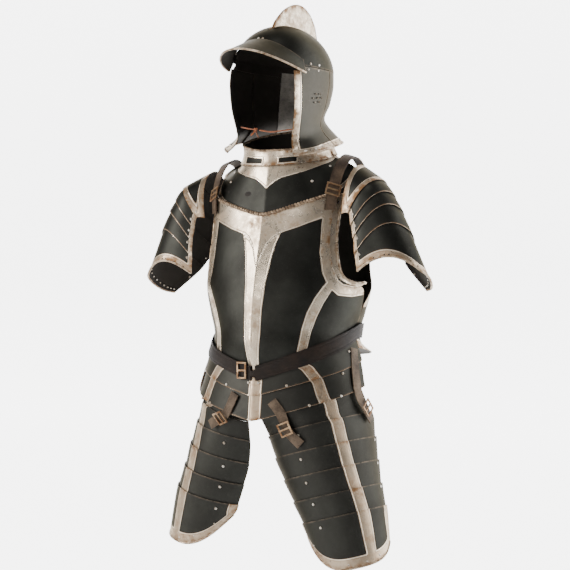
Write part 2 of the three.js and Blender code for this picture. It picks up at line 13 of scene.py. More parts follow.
import bpy
import numpy as np
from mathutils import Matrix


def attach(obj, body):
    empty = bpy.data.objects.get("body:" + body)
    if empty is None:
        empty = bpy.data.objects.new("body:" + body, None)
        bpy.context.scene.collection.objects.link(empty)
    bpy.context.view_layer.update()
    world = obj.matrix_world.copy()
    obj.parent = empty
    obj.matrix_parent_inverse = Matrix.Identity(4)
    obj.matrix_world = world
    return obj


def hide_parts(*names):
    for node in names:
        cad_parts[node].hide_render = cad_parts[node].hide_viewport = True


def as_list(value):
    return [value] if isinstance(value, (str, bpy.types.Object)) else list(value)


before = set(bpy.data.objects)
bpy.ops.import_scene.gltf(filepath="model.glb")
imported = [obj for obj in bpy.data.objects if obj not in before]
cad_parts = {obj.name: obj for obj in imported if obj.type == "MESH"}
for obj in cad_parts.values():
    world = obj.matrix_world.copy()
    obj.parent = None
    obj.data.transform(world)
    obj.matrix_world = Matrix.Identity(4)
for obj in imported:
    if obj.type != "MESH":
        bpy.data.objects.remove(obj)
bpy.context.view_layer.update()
scene = bpy.context.scene
MM = 0.001
CAMERA_TURN = math.radians(28)
CAMERA_AWAY, CAMERA_LEVEL = 3.5, -0.3  # metres
VIEW_WIDTH = 1.197  # metres across the view, at the armour
VIEW_SHIFT = (-0.0105, 0.0588)  # metres that the view moves aside and up, at the armour
SENSOR = 36  # mm

view = bpy.data.objects.new("camera", bpy.data.cameras.new("camera"))
scene.collection.objects.link(view)
scene.camera = view
view.location = (
    CAMERA_AWAY * math.sin(CAMERA_TURN),
    -CAMERA_AWAY * math.cos(CAMERA_TURN),
    CAMERA_LEVEL,
)
view.rotation_euler = (math.pi / 2, 0, CAMERA_TURN)
view.data.sensor_width = SENSOR
view.data.lens = SENSOR * CAMERA_AWAY / VIEW_WIDTH
view.data.shift_x = VIEW_SHIFT[0] / VIEW_WIDTH
view.data.shift_y = VIEW_SHIFT[1] / VIEW_WIDTH
view.data.clip_end = 50
print("camera lens", round(view.data.lens, 1), "mm")

# %% [markdown]
# ## Round things
# Rolled rims, lace and knots are all tubes along a line of points. A Blender curve with a bevel
# could make them too, but a mesh shows its true size at once and its surface can be cut. One
# helper sweeps a ring along the line. A roped rim, the usual trim of fine armour, and a twisted
# lace are the same tube with slanting notches across it, so the radius dips at each notch.

# %% A tube along a line of points
def tube(path, radius, sides=10, pitch=0.0, depth=0.3, closed=False):
    """A tube along a line of points, with slanting notches every `pitch` mm if it has one."""
    path = np.asarray(path, float)
    along = np.gradient(path, axis=0)
    if closed:
        along = np.roll(path, -1, 0) - np.roll(path, 1, 0)
    along /= np.linalg.norm(along, axis=1, keepdims=True)
    side = np.cross(along, [0, 0, 1.0])
    weak = np.linalg.norm(side, axis=1) < 0.15
    side[weak] = np.cross(along[weak], [0, 1.0, 0])
    side /= np.linalg.norm(side, axis=1, keepdims=True)
    up = np.cross(side, along)
    run = np.concatenate([[0], np.cumsum(np.linalg.norm(np.diff(path, axis=0), axis=1))])
    turn = np.linspace(0, 2 * math.pi, sides, endpoint=False)
    r = np.full((len(path), sides), float(radius))
    if pitch:
        wave = np.cos(2 * math.pi * run[:, None] / pitch + turn[None, :])
        r *= 1 - depth * np.clip(wave - 0.35, 0, 1) / 0.65
    ring = side[:, None] * np.cos(turn)[None, :, None] + up[:, None] * np.sin(turn)[None, :, None]
    p = path[:, None] + ring * r[..., None]
    rows = len(path)
    faces = []
    for j in range(rows if closed else rows - 1):
        for i in range(sides):
            a, b = j * sides + i, j * sides + (i + 1) % sides
            c, d = ((j + 1) % rows) * sides + (i + 1) % sides, ((j + 1) % rows) * sides + i
            faces.append((a, d, c, b))
    if not closed:
        faces.append(tuple(range(sides)))
        faces.append(tuple(reversed(range((rows - 1) * sides, rows * sides))))
    return p.reshape(-1, 3), faces


print("tube ready")

# %% [markdown]
# ## Chin lace
# A lace ties the two cheek pieces together under the chin. It is one limp cord with a knot in
# it, and each half belongs to its own cheek piece. It is made before the plates, because the
# frame wants every cord's route early. Each half runs through a few given points, in the
# helmet's own place, and the helmet itself leans and turns a little on its collar.

# %% The helmet's lean, and the chin lace
LEAN, TURN = math.radians(5.5), math.radians(-6)
helmet_turn = np.array(
    [
        [math.cos(TURN) * math.cos(LEAN), -math.sin(TURN), math.cos(TURN) * math.sin(LEAN)],
        [math.sin(TURN) * math.cos(LEAN), math.cos(TURN), math.sin(TURN) * math.sin(LEAN)],
        [-math.sin(LEAN), 0, math.cos(LEAN)],
    ]
)
helmet_middle = np.array([-18.0, -34.0, 0.0])
LACE = {
    "left": [(66, -40, 82), (48, -50, 78), (20, -54, 74), (-7, -55, 76)],
    "right": [(-66, -40, 82), (-50, -49, 80), (-32, -54, 78), (-17, -55, 77)],
}
LACE_RADIUS, LACE_TWIST, LACE_GROOVE = 1.5, 4.5, 0.25
LACE_SIDES, LACE_STEPS = 10, 7
laces, routes, lengths = {}, {}, {}


def smooth_route(route):
    """A smooth line through a few points, with its first and last ones kept straight."""
    route = np.array(route, float)
    padded = np.vstack([2 * route[0] - route[1], route, 2 * route[-1] - route[-2]])
    smooth = []
    for i in range(1, len(padded) - 2):
        a, b, c, d = padded[i - 1 : i + 3]
        steps = LACE_STEPS if i == len(padded) - 3 else LACE_STEPS - 1
        for t in np.linspace(0, 1, LACE_STEPS)[:steps]:
            square = (2 * a - 5 * b + 4 * c - d) * t**2
            cube = (3 * b - a - 3 * c + d) * t**3
            smooth.append(0.5 * (2 * b + (c - a) * t + square + cube))
    return np.array(smooth)


def on_the_helmet(p):
    """Points of the upright helmet, moved to where the leaning helmet has them."""
    return p @ helmet_turn.T + helmet_middle


for name, route in LACE.items():
    smooth = on_the_helmet(smooth_route(route)) * MM
    p, faces = tube(smooth / MM, LACE_RADIUS, LACE_SIDES, LACE_TWIST, LACE_GROOVE)
    cord_mesh = bpy.data.meshes.new(f"chin_lace_{name}_cord")
    cord_mesh.from_pydata((p * MM).tolist(), [], faces)
    cord_mesh.shade_smooth()
    laces[name] = bpy.data.objects.new(f"chin_lace_{name}_cord", cord_mesh)
    scene.collection.objects.link(laces[name])
    routes[name] = [[float(x) for x in at] for at in smooth]
    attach(laces[name], f"cheek_{name}")
    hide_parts(f"chin_lace_{name}")
    lengths[name] = float(np.linalg.norm(np.diff(smooth, axis=0), axis=1).sum())
    print("lace", name, round(lengths[name], 4), "m")

# %% [markdown]
# ## Sizes
# These tables are the plates' sizes in millimetres, the same ones that the solids are made
# from. A table keeps its columns by name, and a smooth curve runs through each column, so one
# row more or less changes the shape gently.

# %% Tables of sizes
STEEL = 1.8
LAP = 3.3
BODY = {
    "z": [0, -60, -110, -180, -250, -300, -338, -362, -388, -415, -460, -530],
    "half": [152, 166, 172, 178, 176, 163, 152, 155, 166, 174, 187, 204],
    "front": [94, 107, 115, 130, 143, 149, 151, 152, 150, 145, 150, 157],
    "back": [92, 116, 128, 134, 117, 106, 101, 101, 192, 196, 155, 160],
    "ridge": [2, 4, 6, 9, 12, 14, 15, 15, 12, 10, 7, 4],
}
GORGET = {
    "s": [0, 1, 2, 3, 4, 5],
    "half": [94, 93, 101, 118, 138, 156],
    "front": [89, 88, 92, 96, 102, 110],
    "back": [73, 74, 80, 88, 98, 112],
    "z_front": [33, 16, 0, -22, -58, -104],
    "z_side": [48, 37, 24, 17, 10, 0],
    "z_back": [54, 44, 32, 18, -18, -78],
    "rise": [36, 18, 4, 0, 0, 0],
    "far": [18, 9, 0, 0, 0, 0],
}
HELMET_WALL = {
    "s": [0, 1, 2, 3, 4],
    "half": [95.5, 97, 93, 87, 118],
    "front": [116, 122, 108, 71, 76],
    "back": [122, 125, 120, 111, 168],
    "z_front": [211, 165, 110, 40, 14],
    "z_back": [211, 180, 150, 118, 76],
}
THIGH = {
    "s": [0, 1, 2, 3, 4, 5, 6],
    "x": [70, 80, 94, 111, 128, 146, 171],
    "y": [-14, -18, -25, -33, -38, -42, -46],
    "z": [-470, -525, -570, -615, -660, -706, -798],
    "half": [106, 103, 99, 93, 87, 83, 76],
    "depth": [128, 120, 112, 102, 93, 86, 76],
    "inner": [-48, -48, -54, -60, -62, -64, -58],
    "outer": [112, 112, 112, 112, 110, 106, 98],
}
SHOULDER = {
    "s": [0, 1, 2, 3, 4, 5],
    "front": [
        (160, -80, -100),
        (178, -82, -99),
        (184, -82, -124),
        (189, -82, -150),
        (191, -80, -182),
        (194, -75, -216),
    ],
    "crown": [
        (172, -10, 2),
        (227, -26, -36),
        (247, -30, -62),
        (265, -34, -92),
        (286, -40, -136),
        (318, -47, -219),
    ],
    "back": [
        (162, 74, -95),
        (184, 74, -106),
        (200, 68, -135),
        (222, 58, -168),
        (250, 45, -208),
        (298, 22, -253),
    ],
    "arch": [0, 4, 7, 11, 16, 22],
}
BREAST = {
    "v": [0, 1, 2, 3, 4, 5, 6],
    "centre": [-420, -372, -322, -265, -205, -150, -100],
    "edge": [-336, -292, -250, -242, -218, -150, -56],
    "angle": [89.6, 89.6, 85, 71, 60, 58, 66],
}
BACK = {
    "v": [0, 1, 2, 3, 4, 5, 6],
    "centre": [-392, -346, -290, -240, -170, -110, -66],
    "edge": [-372, -342, -296, -266, -210, -130, -58],
    "angle": [89.6, 89.6, 89.6, 84, 62, 56, 56],
}
FAULD = {
    "v": [0, 1, 2],
    "centre": [-424, -468, -518],
    "edge": [-340, -398, -450],
    "angle": [89.4, 86, 82],
}
COMB = {
    "y": [-60, -42, -15, 18, 52, 84, 106, 119, 125],
    "top": [266, 300, 326, 342, 345, 332, 309, 280, 240],
}
SKULL = {"half": 97, "front": 114, "back": 125, "rise": 104, "level": 193}
PEAK = {"half": 95, "reach": 108, "middle": -50, "level": 195, "lift": 34}
HELMET_POWER = 2.15  # how square the helmet's ovals are; 2 is an ellipse
BELT_WIDTH, BELT_LEVEL, BELT_RISE = 27, -409, 87
TASSET_TILT = math.radians(14)
HANG = {
    "left": {"drop": 15, "shift": 6, "spread": 6, "turn": 0},
    "right": {"drop": -15, "shift": -6, "spread": 8, "turn": 28},
}


def curve(table, key, name, at):
    """A smooth curve through a column of a table, read where the key column is `at`."""
    keys = np.asarray(table[key], float)
    values = np.asarray(table[name], float)
    if keys[-1] < keys[0]:
        keys, at = -keys, -np.asarray(at, float)
    at = np.asarray(at, float)
    last = len(keys) - 1
    i = np.clip(np.searchsorted(keys, at, side="left") - 1, 0, last - 1)
    t = (at - keys[i]) / (keys[i + 1] - keys[i])
    read = lambda j: values[np.clip(j, 0, last)]
    step = read(i + 1) - read(i)
    a = (read(i + 1) - read(i - 1)) / 2 - step
    b = step - (read(i + 2) - read(i)) / 2
    if values.ndim > 1:
        t = t[..., None]
    smooth = read(i) + step * t + t * (1 - t) * (a * (1 - t) + b * t)
    straight = read(i) + step * t
    return np.where((t < 0) | (t > 1), straight, smooth)


print("half width of the body at the waist:", curve(BODY, "z", "half", -409).round(1), "mm")


# %% [markdown]
# ## Surfaces
# A plate's surface is a rule that turns two numbers, one across and one along, into a point in
# space. The body, the neck, the thighs and the shoulders each have one such rule, and the
# helmet's come in the next step. Sculpting could find these shapes too, but a rule gives a plate
# its neighbours for nothing: a strap, a rim or a rivet can be set on it by the same two numbers.
# An oval seen from above does most of the work: its half width and depth come from a table.

# %% Rules for the body, the neck, the thighs and the shoulders
RIDGE_SPREAD = 16  # degrees over which the breast's ridge fades


def oval(angle, half, depth, power=2.2):
    across = np.abs(np.sin(angle)) / half
    along = np.abs(np.cos(angle)) / depth
    return (across**power + along**power) ** (-1 / power)


def points(x, y, z):
    return np.stack(np.broadcast_arrays(x, y, z), axis=-1)


def body(degrees, z):
    angle = np.radians(degrees)
    depth = np.where(
        np.cos(angle) > 0, curve(BODY, "z", "front", z), curve(BODY, "z", "back", z)
    )
    away = np.minimum(np.abs(degrees), np.abs(360 - degrees))
    r = oval(angle, curve(BODY, "z", "half", z), depth)
    r = r + curve(BODY, "z", "ridge", z) * np.exp(-away / RIDGE_SPREAD)
    return points(r * np.sin(angle), -r * np.cos(angle), z)


def panel(table, middle, power):
    def surface(u, v):
        share = np.abs(u) ** power
        centre, edge = (curve(table, "v", name, v) for name in ("centre", "edge"))
        z = centre + (edge - centre) * share
        return body(middle + u * curve(table, "v", "angle", v), z)

    return surface


breast = panel(BREAST, 0, 1.3)
back_of_body = panel(BACK, 180, 1.6)
fauld = panel(FAULD, 0, 1.15)


def waist(degrees):
    away = np.minimum(np.abs(degrees), np.abs(360 - degrees))
    return BELT_LEVEL + BELT_RISE * np.minimum(away / 92, 1) ** 1.1


def belt(degrees, v):
    return body(degrees, waist(degrees) - v * BELT_WIDTH)


def thigh(u, s, hang):
    turn = hang["turn"] * (1 - s / 6)
    inner = curve(THIGH, "s", "inner", s) + turn
    outer = curve(THIGH, "s", "outer", s) + turn / 2
    angle = np.radians(inner + (outer - inner) * (u + 1) / 2)
    r = oval(angle, curve(THIGH, "s", "half", s), curve(THIGH, "s", "depth", s), 2)
    out = r * np.sin(angle)
    shift = hang["shift"] + (hang["spread"] - hang["shift"]) * s / 6
    return points(
        curve(THIGH, "s", "x", s) + out * math.cos(TASSET_TILT) + shift,
        curve(THIGH, "s", "y", s) - r * np.cos(angle),
        curve(THIGH, "s", "z", s) + out * math.sin(TASSET_TILT) - hang["drop"],
    )


def tasset(hang):
    def surface(u, s):
        short = 1 - np.where(u < 0, 0.9 * u**2, 0.45 * np.abs(u) ** 3)
        low = thigh(u, np.where(s > 5, 5 + (s - 5) * short, np.maximum(s, 1)), hang)
        high = fauld(0.07 + (0.96 - 0.07) * (u + 1) / 2, np.full_like(s, 1.82))
        return np.where((s < 1)[..., None], high + (low - high) * s[..., None], low)

    return surface


def gorget(degrees, s):
    angle = np.radians(degrees)
    ahead = np.cos(angle) > 0
    read = lambda name: curve(GORGET, "s", name, s)
    ridge = (1 + s * 0.8) * np.exp(-np.abs(degrees) / 14)
    r = oval(angle, read("half"), np.where(ahead, read("front"), read("back"))) + ridge
    share = np.abs(np.cos(angle)) ** 0.7
    z = read("z_side") * (1 - share) + np.where(ahead, read("z_front"), read("z_back")) * share
    z = z + read("rise") * np.maximum(-np.cos(angle), 0) ** 1.3
    z = z + read("far") * np.maximum(-np.sin(angle), 0) ** 2
    return points(r * np.sin(angle), -r * np.cos(angle), z)


def shoulder(u, s):
    front, crown, back = (curve(SHOULDER, "s", name, s) for name in ("front", "crown", "back"))
    middle = (front + back) / 2
    angle = np.radians(u)
    behind = np.maximum(-np.cos(angle), 0) ** 1.5
    reach = np.sin(angle) * (1 - 0.55 * behind) + 0.03 * np.sin(3 * angle)
    p = middle + (front - middle) * np.cos(angle)[..., None]
    p = p + (crown - middle) * (reach / 0.97)[..., None]
    lift = curve(SHOULDER, "s", "arch", s) * np.sin(2 * angle) * np.where(u < 90, 1, 0.3)
    return p + points(0 * lift, 0 * lift, lift)


print("front of the belt, mm:", body(0.0, BELT_LEVEL + 0.0).round(1))

# %% [markdown]
# ## The helmet's surfaces
# The bowl is half an egg, cut off at the brow, and the comb stands on its middle line. Below the
# brow one wall goes round the head: the cheek pieces and the neck guard are both cut from it.
# These rules are written for an upright helmet, and `on_helmet` leans it into place.

# %% Rules for the helmet
def on_helmet(surface):
    return lambda u, v: on_the_helmet(surface(u, v))


def skull(degrees, down):
    around, fall = np.radians(degrees), np.radians(down)
    depth = np.where(np.cos(around) > 0, SKULL["front"], SKULL["back"])
    r = oval(around, SKULL["half"], depth, HELMET_POWER) * np.sin(fall)
    z = SKULL["level"] + SKULL["rise"] * np.cos(fall)
    return points(r * np.sin(around), -r * np.cos(around), z)


def brow(degrees):
    away = np.minimum(np.abs(degrees), 56) / 56
    return 80 - 21 * np.cos(away * math.pi / 2)


def dome(degrees, v):
    return skull(degrees, v * brow(degrees))


def comb(y, v):
    depth = np.where(y < 0, SKULL["front"], SKULL["back"])
    arc = SKULL["rise"] * np.sqrt(np.maximum(0, 1 - (y / depth) ** 2)) - 1.2
    foot = SKULL["level"] + np.maximum(arc, 21)
    top = np.maximum(curve(COMB, "y", "top", y), foot + 0.6)
    return points(0 * y, y, foot + (top - foot) * v)


def helmet_wall(degrees, s):
    angle = np.radians(degrees)
    read = lambda name: curve(HELMET_WALL, "s", name, s)
    depth = np.where(np.cos(angle) > 0, read("front"), read("back"))
    r = oval(angle, read("half"), depth, HELMET_POWER)
    z = read("z_back") + (read("z_front") - read("z_back")) * (1 + np.cos(angle)) / 2
    return points(r * np.sin(angle), -r * np.cos(angle), z)


def cheek(degrees, v):
    x = np.clip((degrees - 55) / 9, 0, 1)
    top = 0.36 + (0.08 - 0.36) * x * x * (3 - 2 * x)
    s = np.where(v < 0.75, top + (3 - top) * v / 0.75, 3 + (v - 0.75) * 4)
    drawn = (112 - degrees) / (112 - 46)
    return helmet_wall(degrees + 10 * drawn * np.minimum(s / 3, 1), s)


def peak(degrees, v):
    angle = np.radians(degrees)
    start = skull(degrees * 0.66, brow(degrees * 0.66) - 7)
    lift = np.maximum(np.cos(angle), 0) ** 1.4
    edge = points(
        PEAK["half"] * np.sin(angle),
        PEAK["middle"] - PEAK["reach"] * np.cos(angle),
        PEAK["level"] + PEAK["lift"] * lift,
    )
    return start + (edge - start) * np.asarray(v)[..., None]


def mirrored(surface, side):
    return lambda u, v: surface(u, v) * np.array([side, 1, 1])


print("top of the comb, mm:", comb(np.array(52.0), np.array(1.0)).round(1))

# %% [markdown]
# ## Building a plate
# A plate is two copies of its surface, one STEEL apart, closed round the rim. The mesh is
# finer than the solid, so the steel shades smoothly. Each vertex also keeps two lengths in
# millimetres: how far it lies inside a bright band, and how far it is from the plate's edge.
# The steel's shader reads them, so a band stays crisp however the plate bends.

# %% Plates as fine meshes
ALL_BLACK = -9.0  # mm inside a bright band, for steel far from any
ALL_BRIGHT = 5.0
SHARP = math.radians(42)
made_triangles = {}


def normals(surface, u, v, facing):
    e = 1e-3
    du = surface(u + e, v) - surface(u - e, v)
    dv = surface(u, v + e) - surface(u, v - e)
    n = np.cross(du, dv)
    return facing * n / np.maximum(np.linalg.norm(n, axis=-1, keepdims=True), 1e-9)


def spot(surface, u, v, facing):
    """One place on a surface: its point, and the direction out of it."""
    u, v = np.array([[float(u)]]), np.array([[float(v)]])
    return surface(u, v)[0, 0], normals(surface, u, v, facing)[0, 0]


def lengths_along(p, axis):
    """How far each point of a grid is from the grid's first and last line, in mm."""
    steps = np.linalg.norm(np.diff(p, axis=axis), axis=-1)
    first = [(0, 0), (0, 0)]
    first[axis] = (1, 0)
    run = np.cumsum(np.pad(steps, first), axis=axis)
    total = np.take(run, [-1], axis=axis)
    return run, total - run


def new_object(name, vertices, faces, material, floats=None):
    mesh = bpy.data.meshes.new(name)
    mesh.from_pydata([tuple(p) for p in vertices], [], faces)
    mesh.shade_smooth()
    mesh.set_sharp_from_angle(angle=SHARP)
    for key, values in (floats or {}).items():
        mesh.attributes.new(key, "FLOAT", "POINT").data.foreach_set("value", values)
    mesh.materials.append(material)
    piece = bpy.data.objects.new(name, mesh)
    scene.collection.objects.link(piece)
    made_triangles[name] = sum(len(f) - 2 for f in faces)
    return piece


def shell_faces(rows, columns, facing, closed=False):
    """Two sheets of a grid, the outer one numbered first, closed round their rim."""
    sheet = rows * columns
    spans = columns if closed else columns - 1
    faces = []

    def quad(a, b, c, d):
        faces.append((a, b, c, d) if facing > 0 else (d, c, b, a))

    for j in range(rows - 1):
        for i in range(spans):
            a, b = j * columns + i, j * columns + (i + 1) % columns
            quad(a, b, b + columns, a + columns)
            quad(sheet + a + columns, sheet + b + columns, sheet + b, sheet + a)
    for i in range(spans):
        a, b = i, (i + 1) % columns
        quad(sheet + a, sheet + b, b, a)
        a, b = a + sheet - columns, b + sheet - columns
        quad(a, b, sheet + b, sheet + a)
    if not closed:
        for j in range(rows - 1):
            a, b = j * columns, (j + 1) * columns
            quad(sheet + a, a, b, sheet + b)
            a, b = a + columns - 1, b + columns - 1
            quad(a, sheet + a, sheet + b, b)
    return faces


def plate(node, surface, us, vs, inner, mask, facing=1, thick=STEEL, body="harness",
          finish="black_steel", extra=False):
    """A fine plate over a surface, with its bands given by `mask`.

    `inner` is how far its inner side stands off the surface, in mm, as a number or as a rule.
    It stands for the solid of the same name, unless it is `extra` to the solids.
    """
    u, v = np.meshgrid(us, vs)
    p = surface(u, v)
    n = normals(surface, u, v, facing)
    low = inner(u, v) if callable(inner) else np.full(u.shape, float(inner))
    sheets = [p + n * (low + above)[..., None] for above in (thick, 0)]
    left, right = lengths_along(p, 1)
    top, bottom = lengths_along(p, 0)
    away = {"left": left, "right": right, "top": top, "bottom": bottom}
    edge = np.minimum(np.minimum(top, bottom), np.minimum(left, right))
    bright = np.broadcast_to(mask(u, v, p, away), u.shape)
    floats = {
        "bright": np.concatenate([bright.ravel(), np.full(u.size, ALL_BLACK)]),
        "edge": np.tile(edge.ravel(), 2),
        "inside": np.repeat([0.0, 1.0], u.size),
    }
    vertices = np.concatenate([sheet.reshape(-1, 3) for sheet in sheets]) * MM
    piece = new_object(node + "_plate", vertices, shell_faces(*u.shape, facing), steels[finish],
                       floats)
    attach(piece, body)
    if not extra:
        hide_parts(node)
    return piece


def stations(first, last, gap, size):
    """Evenly spaced stations over a length of `size` mm, about `gap` mm apart."""
    return np.linspace(first, last, max(3, int(round(size / gap)) + 1))


def near(at, pairs):
    """The value of a line of (place, value) pairs, read at other places."""
    return np.interp(at, *zip(*pairs))


def all_over(value):
    """A mask that says the same everywhere."""
    return lambda u, v, p, away: value


print("a plate is two sheets,", STEEL, "mm apart")

# %% [markdown]
# ## Shader maths
# Every finish below is a small sum: a mask times this, plus noise times that. Writing such a
# sum by wiring Math nodes is slow to read, so a Field stands for one socket and understands
# plus, minus and times, also with a number in front. Colours are mixed with a Mix node, because
# a Math node would turn them grey.

# %% A socket that understands sums
class Field:
    def __init__(self, tree, socket):
        self.tree, self.socket = tree, socket

    def math(self, operation, *others, clamp=False):
        node = self.tree.nodes.new("ShaderNodeMath")
        node.operation = operation
        node.use_clamp = clamp
        for place, value in enumerate((self, *others)):
            if isinstance(value, Field):
                self.tree.links.new(value.socket, node.inputs[place])
            else:
                node.inputs[place].default_value = value
        return Field(self.tree, node.outputs[0])

    def __add__(self, other):
        return self.math("ADD", other)

    def __mul__(self, other):
        return self.math("MULTIPLY", other)

    def __sub__(self, other):
        return self.math("SUBTRACT", other)

    def __rsub__(self, other):
        return self * -1 + other

    __radd__, __rmul__ = __add__, __mul__

    def held(self):
        return self.math("ADD", 0.0, clamp=True)

    def step(self, low, high):
        """0 below `low`, 1 above `high`, straight between."""
        return ((self - low) * (1 / (high - low))).held()


class Finish:
    """A material whose Principled shader is fed by named values."""

    def __init__(self, name, metallic=0.0, sheen=0.0):
        self.material = bpy.data.materials.new(name)
        self.material.use_nodes = True
        self.tree = self.material.node_tree
        self.shader = self.tree.nodes["Principled BSDF"]
        self.shader.inputs["Metallic"].default_value = metallic
        self.shader.inputs["Sheen Weight"].default_value = sheen
        self.place = self.node("ShaderNodeTexCoord").outputs["Object"]

    def node(self, kind, settings=None, **values):
        node = self.tree.nodes.new(kind)
        for key, value in (settings or {}).items():
            setattr(node, key, value)
        for key, value in values.items():
            socket = node.inputs[key.replace("_", " ")]
            if isinstance(value, Field):
                self.tree.links.new(value.socket, socket)
            elif isinstance(value, bpy.types.NodeSocket):
                self.tree.links.new(value, socket)
            else:
                socket.default_value = value
        return node

    def stored(self, name):
        node = self.node("ShaderNodeAttribute", {"attribute_name": name})
        return Field(self.tree, node.outputs["Fac"])

    def noise(self, size, detail=3, rough=0.55, stretch=None):
        """Clouds about `size` mm across, from 0 to 1."""
        place = self.place
        if stretch:
            scaled = self.node("ShaderNodeVectorMath", {"operation": "MULTIPLY"})
            self.tree.links.new(place, scaled.inputs[0])
            scaled.inputs[1].default_value = stretch
            place = scaled.outputs[0]
        made = self.node("ShaderNodeTexNoise", Vector=place, Scale=1000 / size,
                         Detail=detail, Roughness=rough)
        return Field(self.tree, made.outputs["Fac"])

    def mix(self, share, one, two):
        node = self.node("ShaderNodeMix", {"data_type": "RGBA"})
        for place, value in ((0, share), (6, one), (7, two)):
            if isinstance(value, Field):
                self.tree.links.new(value.socket, node.inputs[place])
            elif isinstance(value, (int, float)):
                node.inputs[place].default_value = value
            else:
                node.inputs[place].default_value = (*value, 1)
        return Field(self.tree, node.outputs[2])

    def feed(self, **values):
        for key, value in values.items():
            socket = self.shader.inputs[key.replace("_", " ")]
            if isinstance(value, Field):
                self.tree.links.new(value.socket, socket)
            else:
                socket.default_value = value
        return self

    def bump(self, height, distance=1.0, strength=1.0):
        made = self.node("ShaderNodeBump", Height=height, Distance=distance * MM,
                         Strength=strength)
        self.tree.links.new(made.outputs[0], self.shader.inputs["Normal"])
        return self


# %% [markdown]
# ## Steel
# The plates are blackened steel with bands ground back to bright metal. Old bright steel is
# warm, with brown stains that gather along its borders, and the black has worn to a soft
# green grey with fine pits. One finish holds both: the stored length to the band's border
# picks between them, roughened a little so that the border looks hand ground. A dark line of
# painted shadow marks the border, a ridge in the bump follows just inside it with a painted
# highlight along it, and a faint groove comes after that. The shoulders and legs are more
# stained than the breast, and the black of the helmet's cheek pieces and neck guard is painted
# a lighter grey, a painted reflection of the light that their steel catches, so the same
# function makes six steels.

# %% Steel finishes
BLACK = (0.0152, 0.0155, 0.0143)
WORN_BLACK = (0.026, 0.0258, 0.0236)
GREY = (0.046, 0.048, 0.043)
# Painted reflection: the lighter grey given to the black of the cheek pieces and neck guard,
# standing for the light that their steel reflects.
REFLECTION_GREY = (0.050, 0.047, 0.041)
BRIGHT = (0.57, 0.495, 0.395)
STAINED = (0.44, 0.355, 0.265)
# Painted highlight: the bright line along the ridge inside a band's border.
RIDGE_HIGHLIGHT_COLOUR = (0.88, 0.80, 0.67)
BARE_RIM = (0.20, 0.155, 0.115)
BROWN = (0.17, 0.092, 0.042)
# Painted shadow: the dark line along a bright band's border.
BORDER_SHADOW = (0.030, 0.015, 0.008)
INSIDE = (0.018, 0.015, 0.013)
STEEL_TINT = (0.5, 0.47, 0.42, 1)


def beside(length, place, width):
    """1 at one place along a stored length, falling to 0 at `width` mm on each side of it."""
    return (1 - (length - place).math("ABSOLUTE") * (1 / width)).held()


def steel(name, dark=BLACK, light=BRIGHT, dark_rough=0.36):
    f = Finish(name)
    f.shader.inputs["Specular Tint"].default_value = STEEL_TINT
    clouds = f.noise(90, 4)
    spots = f.noise(14, 4, 0.65)
    pits = f.noise(2.2, 2, 0.6)
    length, edge, inside = f.stored("bright"), f.stored("edge"), f.stored("inside")
    rough_length = length + (spots - 0.5) * 1.6
    band = rough_length.step(-0.35, 0.35)
    # Three lines along the band: a painted shadow line at its border, a ridge in the bump that
    # also carries a painted highlight, and a groove.
    border, ridge_highlight, groove = (
        beside(length, place, width) for place, width in ((-0.5, 1.2), (1.6, 1.3), (3.4, 0.9))
    )

    black = f.mix(clouds.step(0.35, 0.7), dark, [0.5 * (a + b) for a, b in zip(dark, GREY)])
    black = f.mix(pits.step(0.62, 0.75) * 0.5, black, GREY)
    stain = (clouds.step(0.38, 0.64) * spots.step(0.34, 0.62) * 0.9).held()
    stain = (stain + (1 - edge.step(0, 9)) * spots.step(0.34, 0.60) * 0.75).held()
    white = f.mix(stain, light, BROWN)
    white = f.mix(pits.step(0.60, 0.72) * 0.45, white, BROWN)

    colour = f.mix(band, black, white)
    # Painted shadow: a dark line along the band's border.
    colour = f.mix(border * 0.75, colour, BORDER_SHADOW)
    # Painted highlight on the ridge inside the border, weaker where the steel is stained.
    colour = f.mix(ridge_highlight * (1 - stain * 0.6) * 0.85, colour, RIDGE_HIGHLIGHT_COLOUR)
    colour = f.mix(groove * 0.55, colour, BROWN)
    worn = (1 - edge.step(0.5, 3.5)) * (1 - band) * spots.step(0.35, 0.6)
    colour = f.mix(worn * 0.4, colour, BARE_RIM)
    colour = f.mix(inside * 0.9, colour, INSIDE)
    rough = dark_rough + spots * 0.14 - band * 0.17 + stain * band * 0.28 + inside * 0.25
    metallic = 0.88 - stain * band * 0.45 - inside * 0.5
    f.feed(Base_Color=colour, Roughness=rough.held(), Metallic=metallic.held())

    height = ridge_highlight * 0.5 - groove * 0.6 + rough_length.step(-0.9, 0.9) * -0.8
    height = height + spots * 0.12 + pits * 0.10 + f.noise(34, 2) * 0.7
    f.bump(height, 0.9, 0.55)
    return f.material


steels = {
    "black_steel": steel("black_steel_plate"),
    "bright_steel": steel("bright_steel_plate"),
    "stained_steel": steel("stained_steel_plate", light=STAINED, dark_rough=0.38),
    "leg_steel": steel("leg_steel_plate", dark=WORN_BLACK, light=STAINED, dark_rough=0.42),
    "reflection_grey_stained": steel("grey_stained_plate", dark=REFLECTION_GREY, light=STAINED),
    "reflection_grey_steel": steel("grey_steel_plate", dark=REFLECTION_GREY),
}
print("steel finishes:", ", ".join(steels))

# %% [markdown]
# ## Cuirass
# The breastplate is one raised sheet with a ridge down its middle. Its bright bands run along
# the neck, down the ridge in a long tapering strip, round each armhole and up from the waist
# on each side. Painting them on an image would blur them close up, so each band is a line of
# stations with a half width, and its borders curve as the smith filed them. The back plate has
# plain borders. Two narrow gussets slide under the breastplate's armholes.

# %% Breastplate, backplate and gussets
DEGREE = 2.7  # mm along the body for each degree round it
FAR = 1e3  # mm, further than any plate reaches


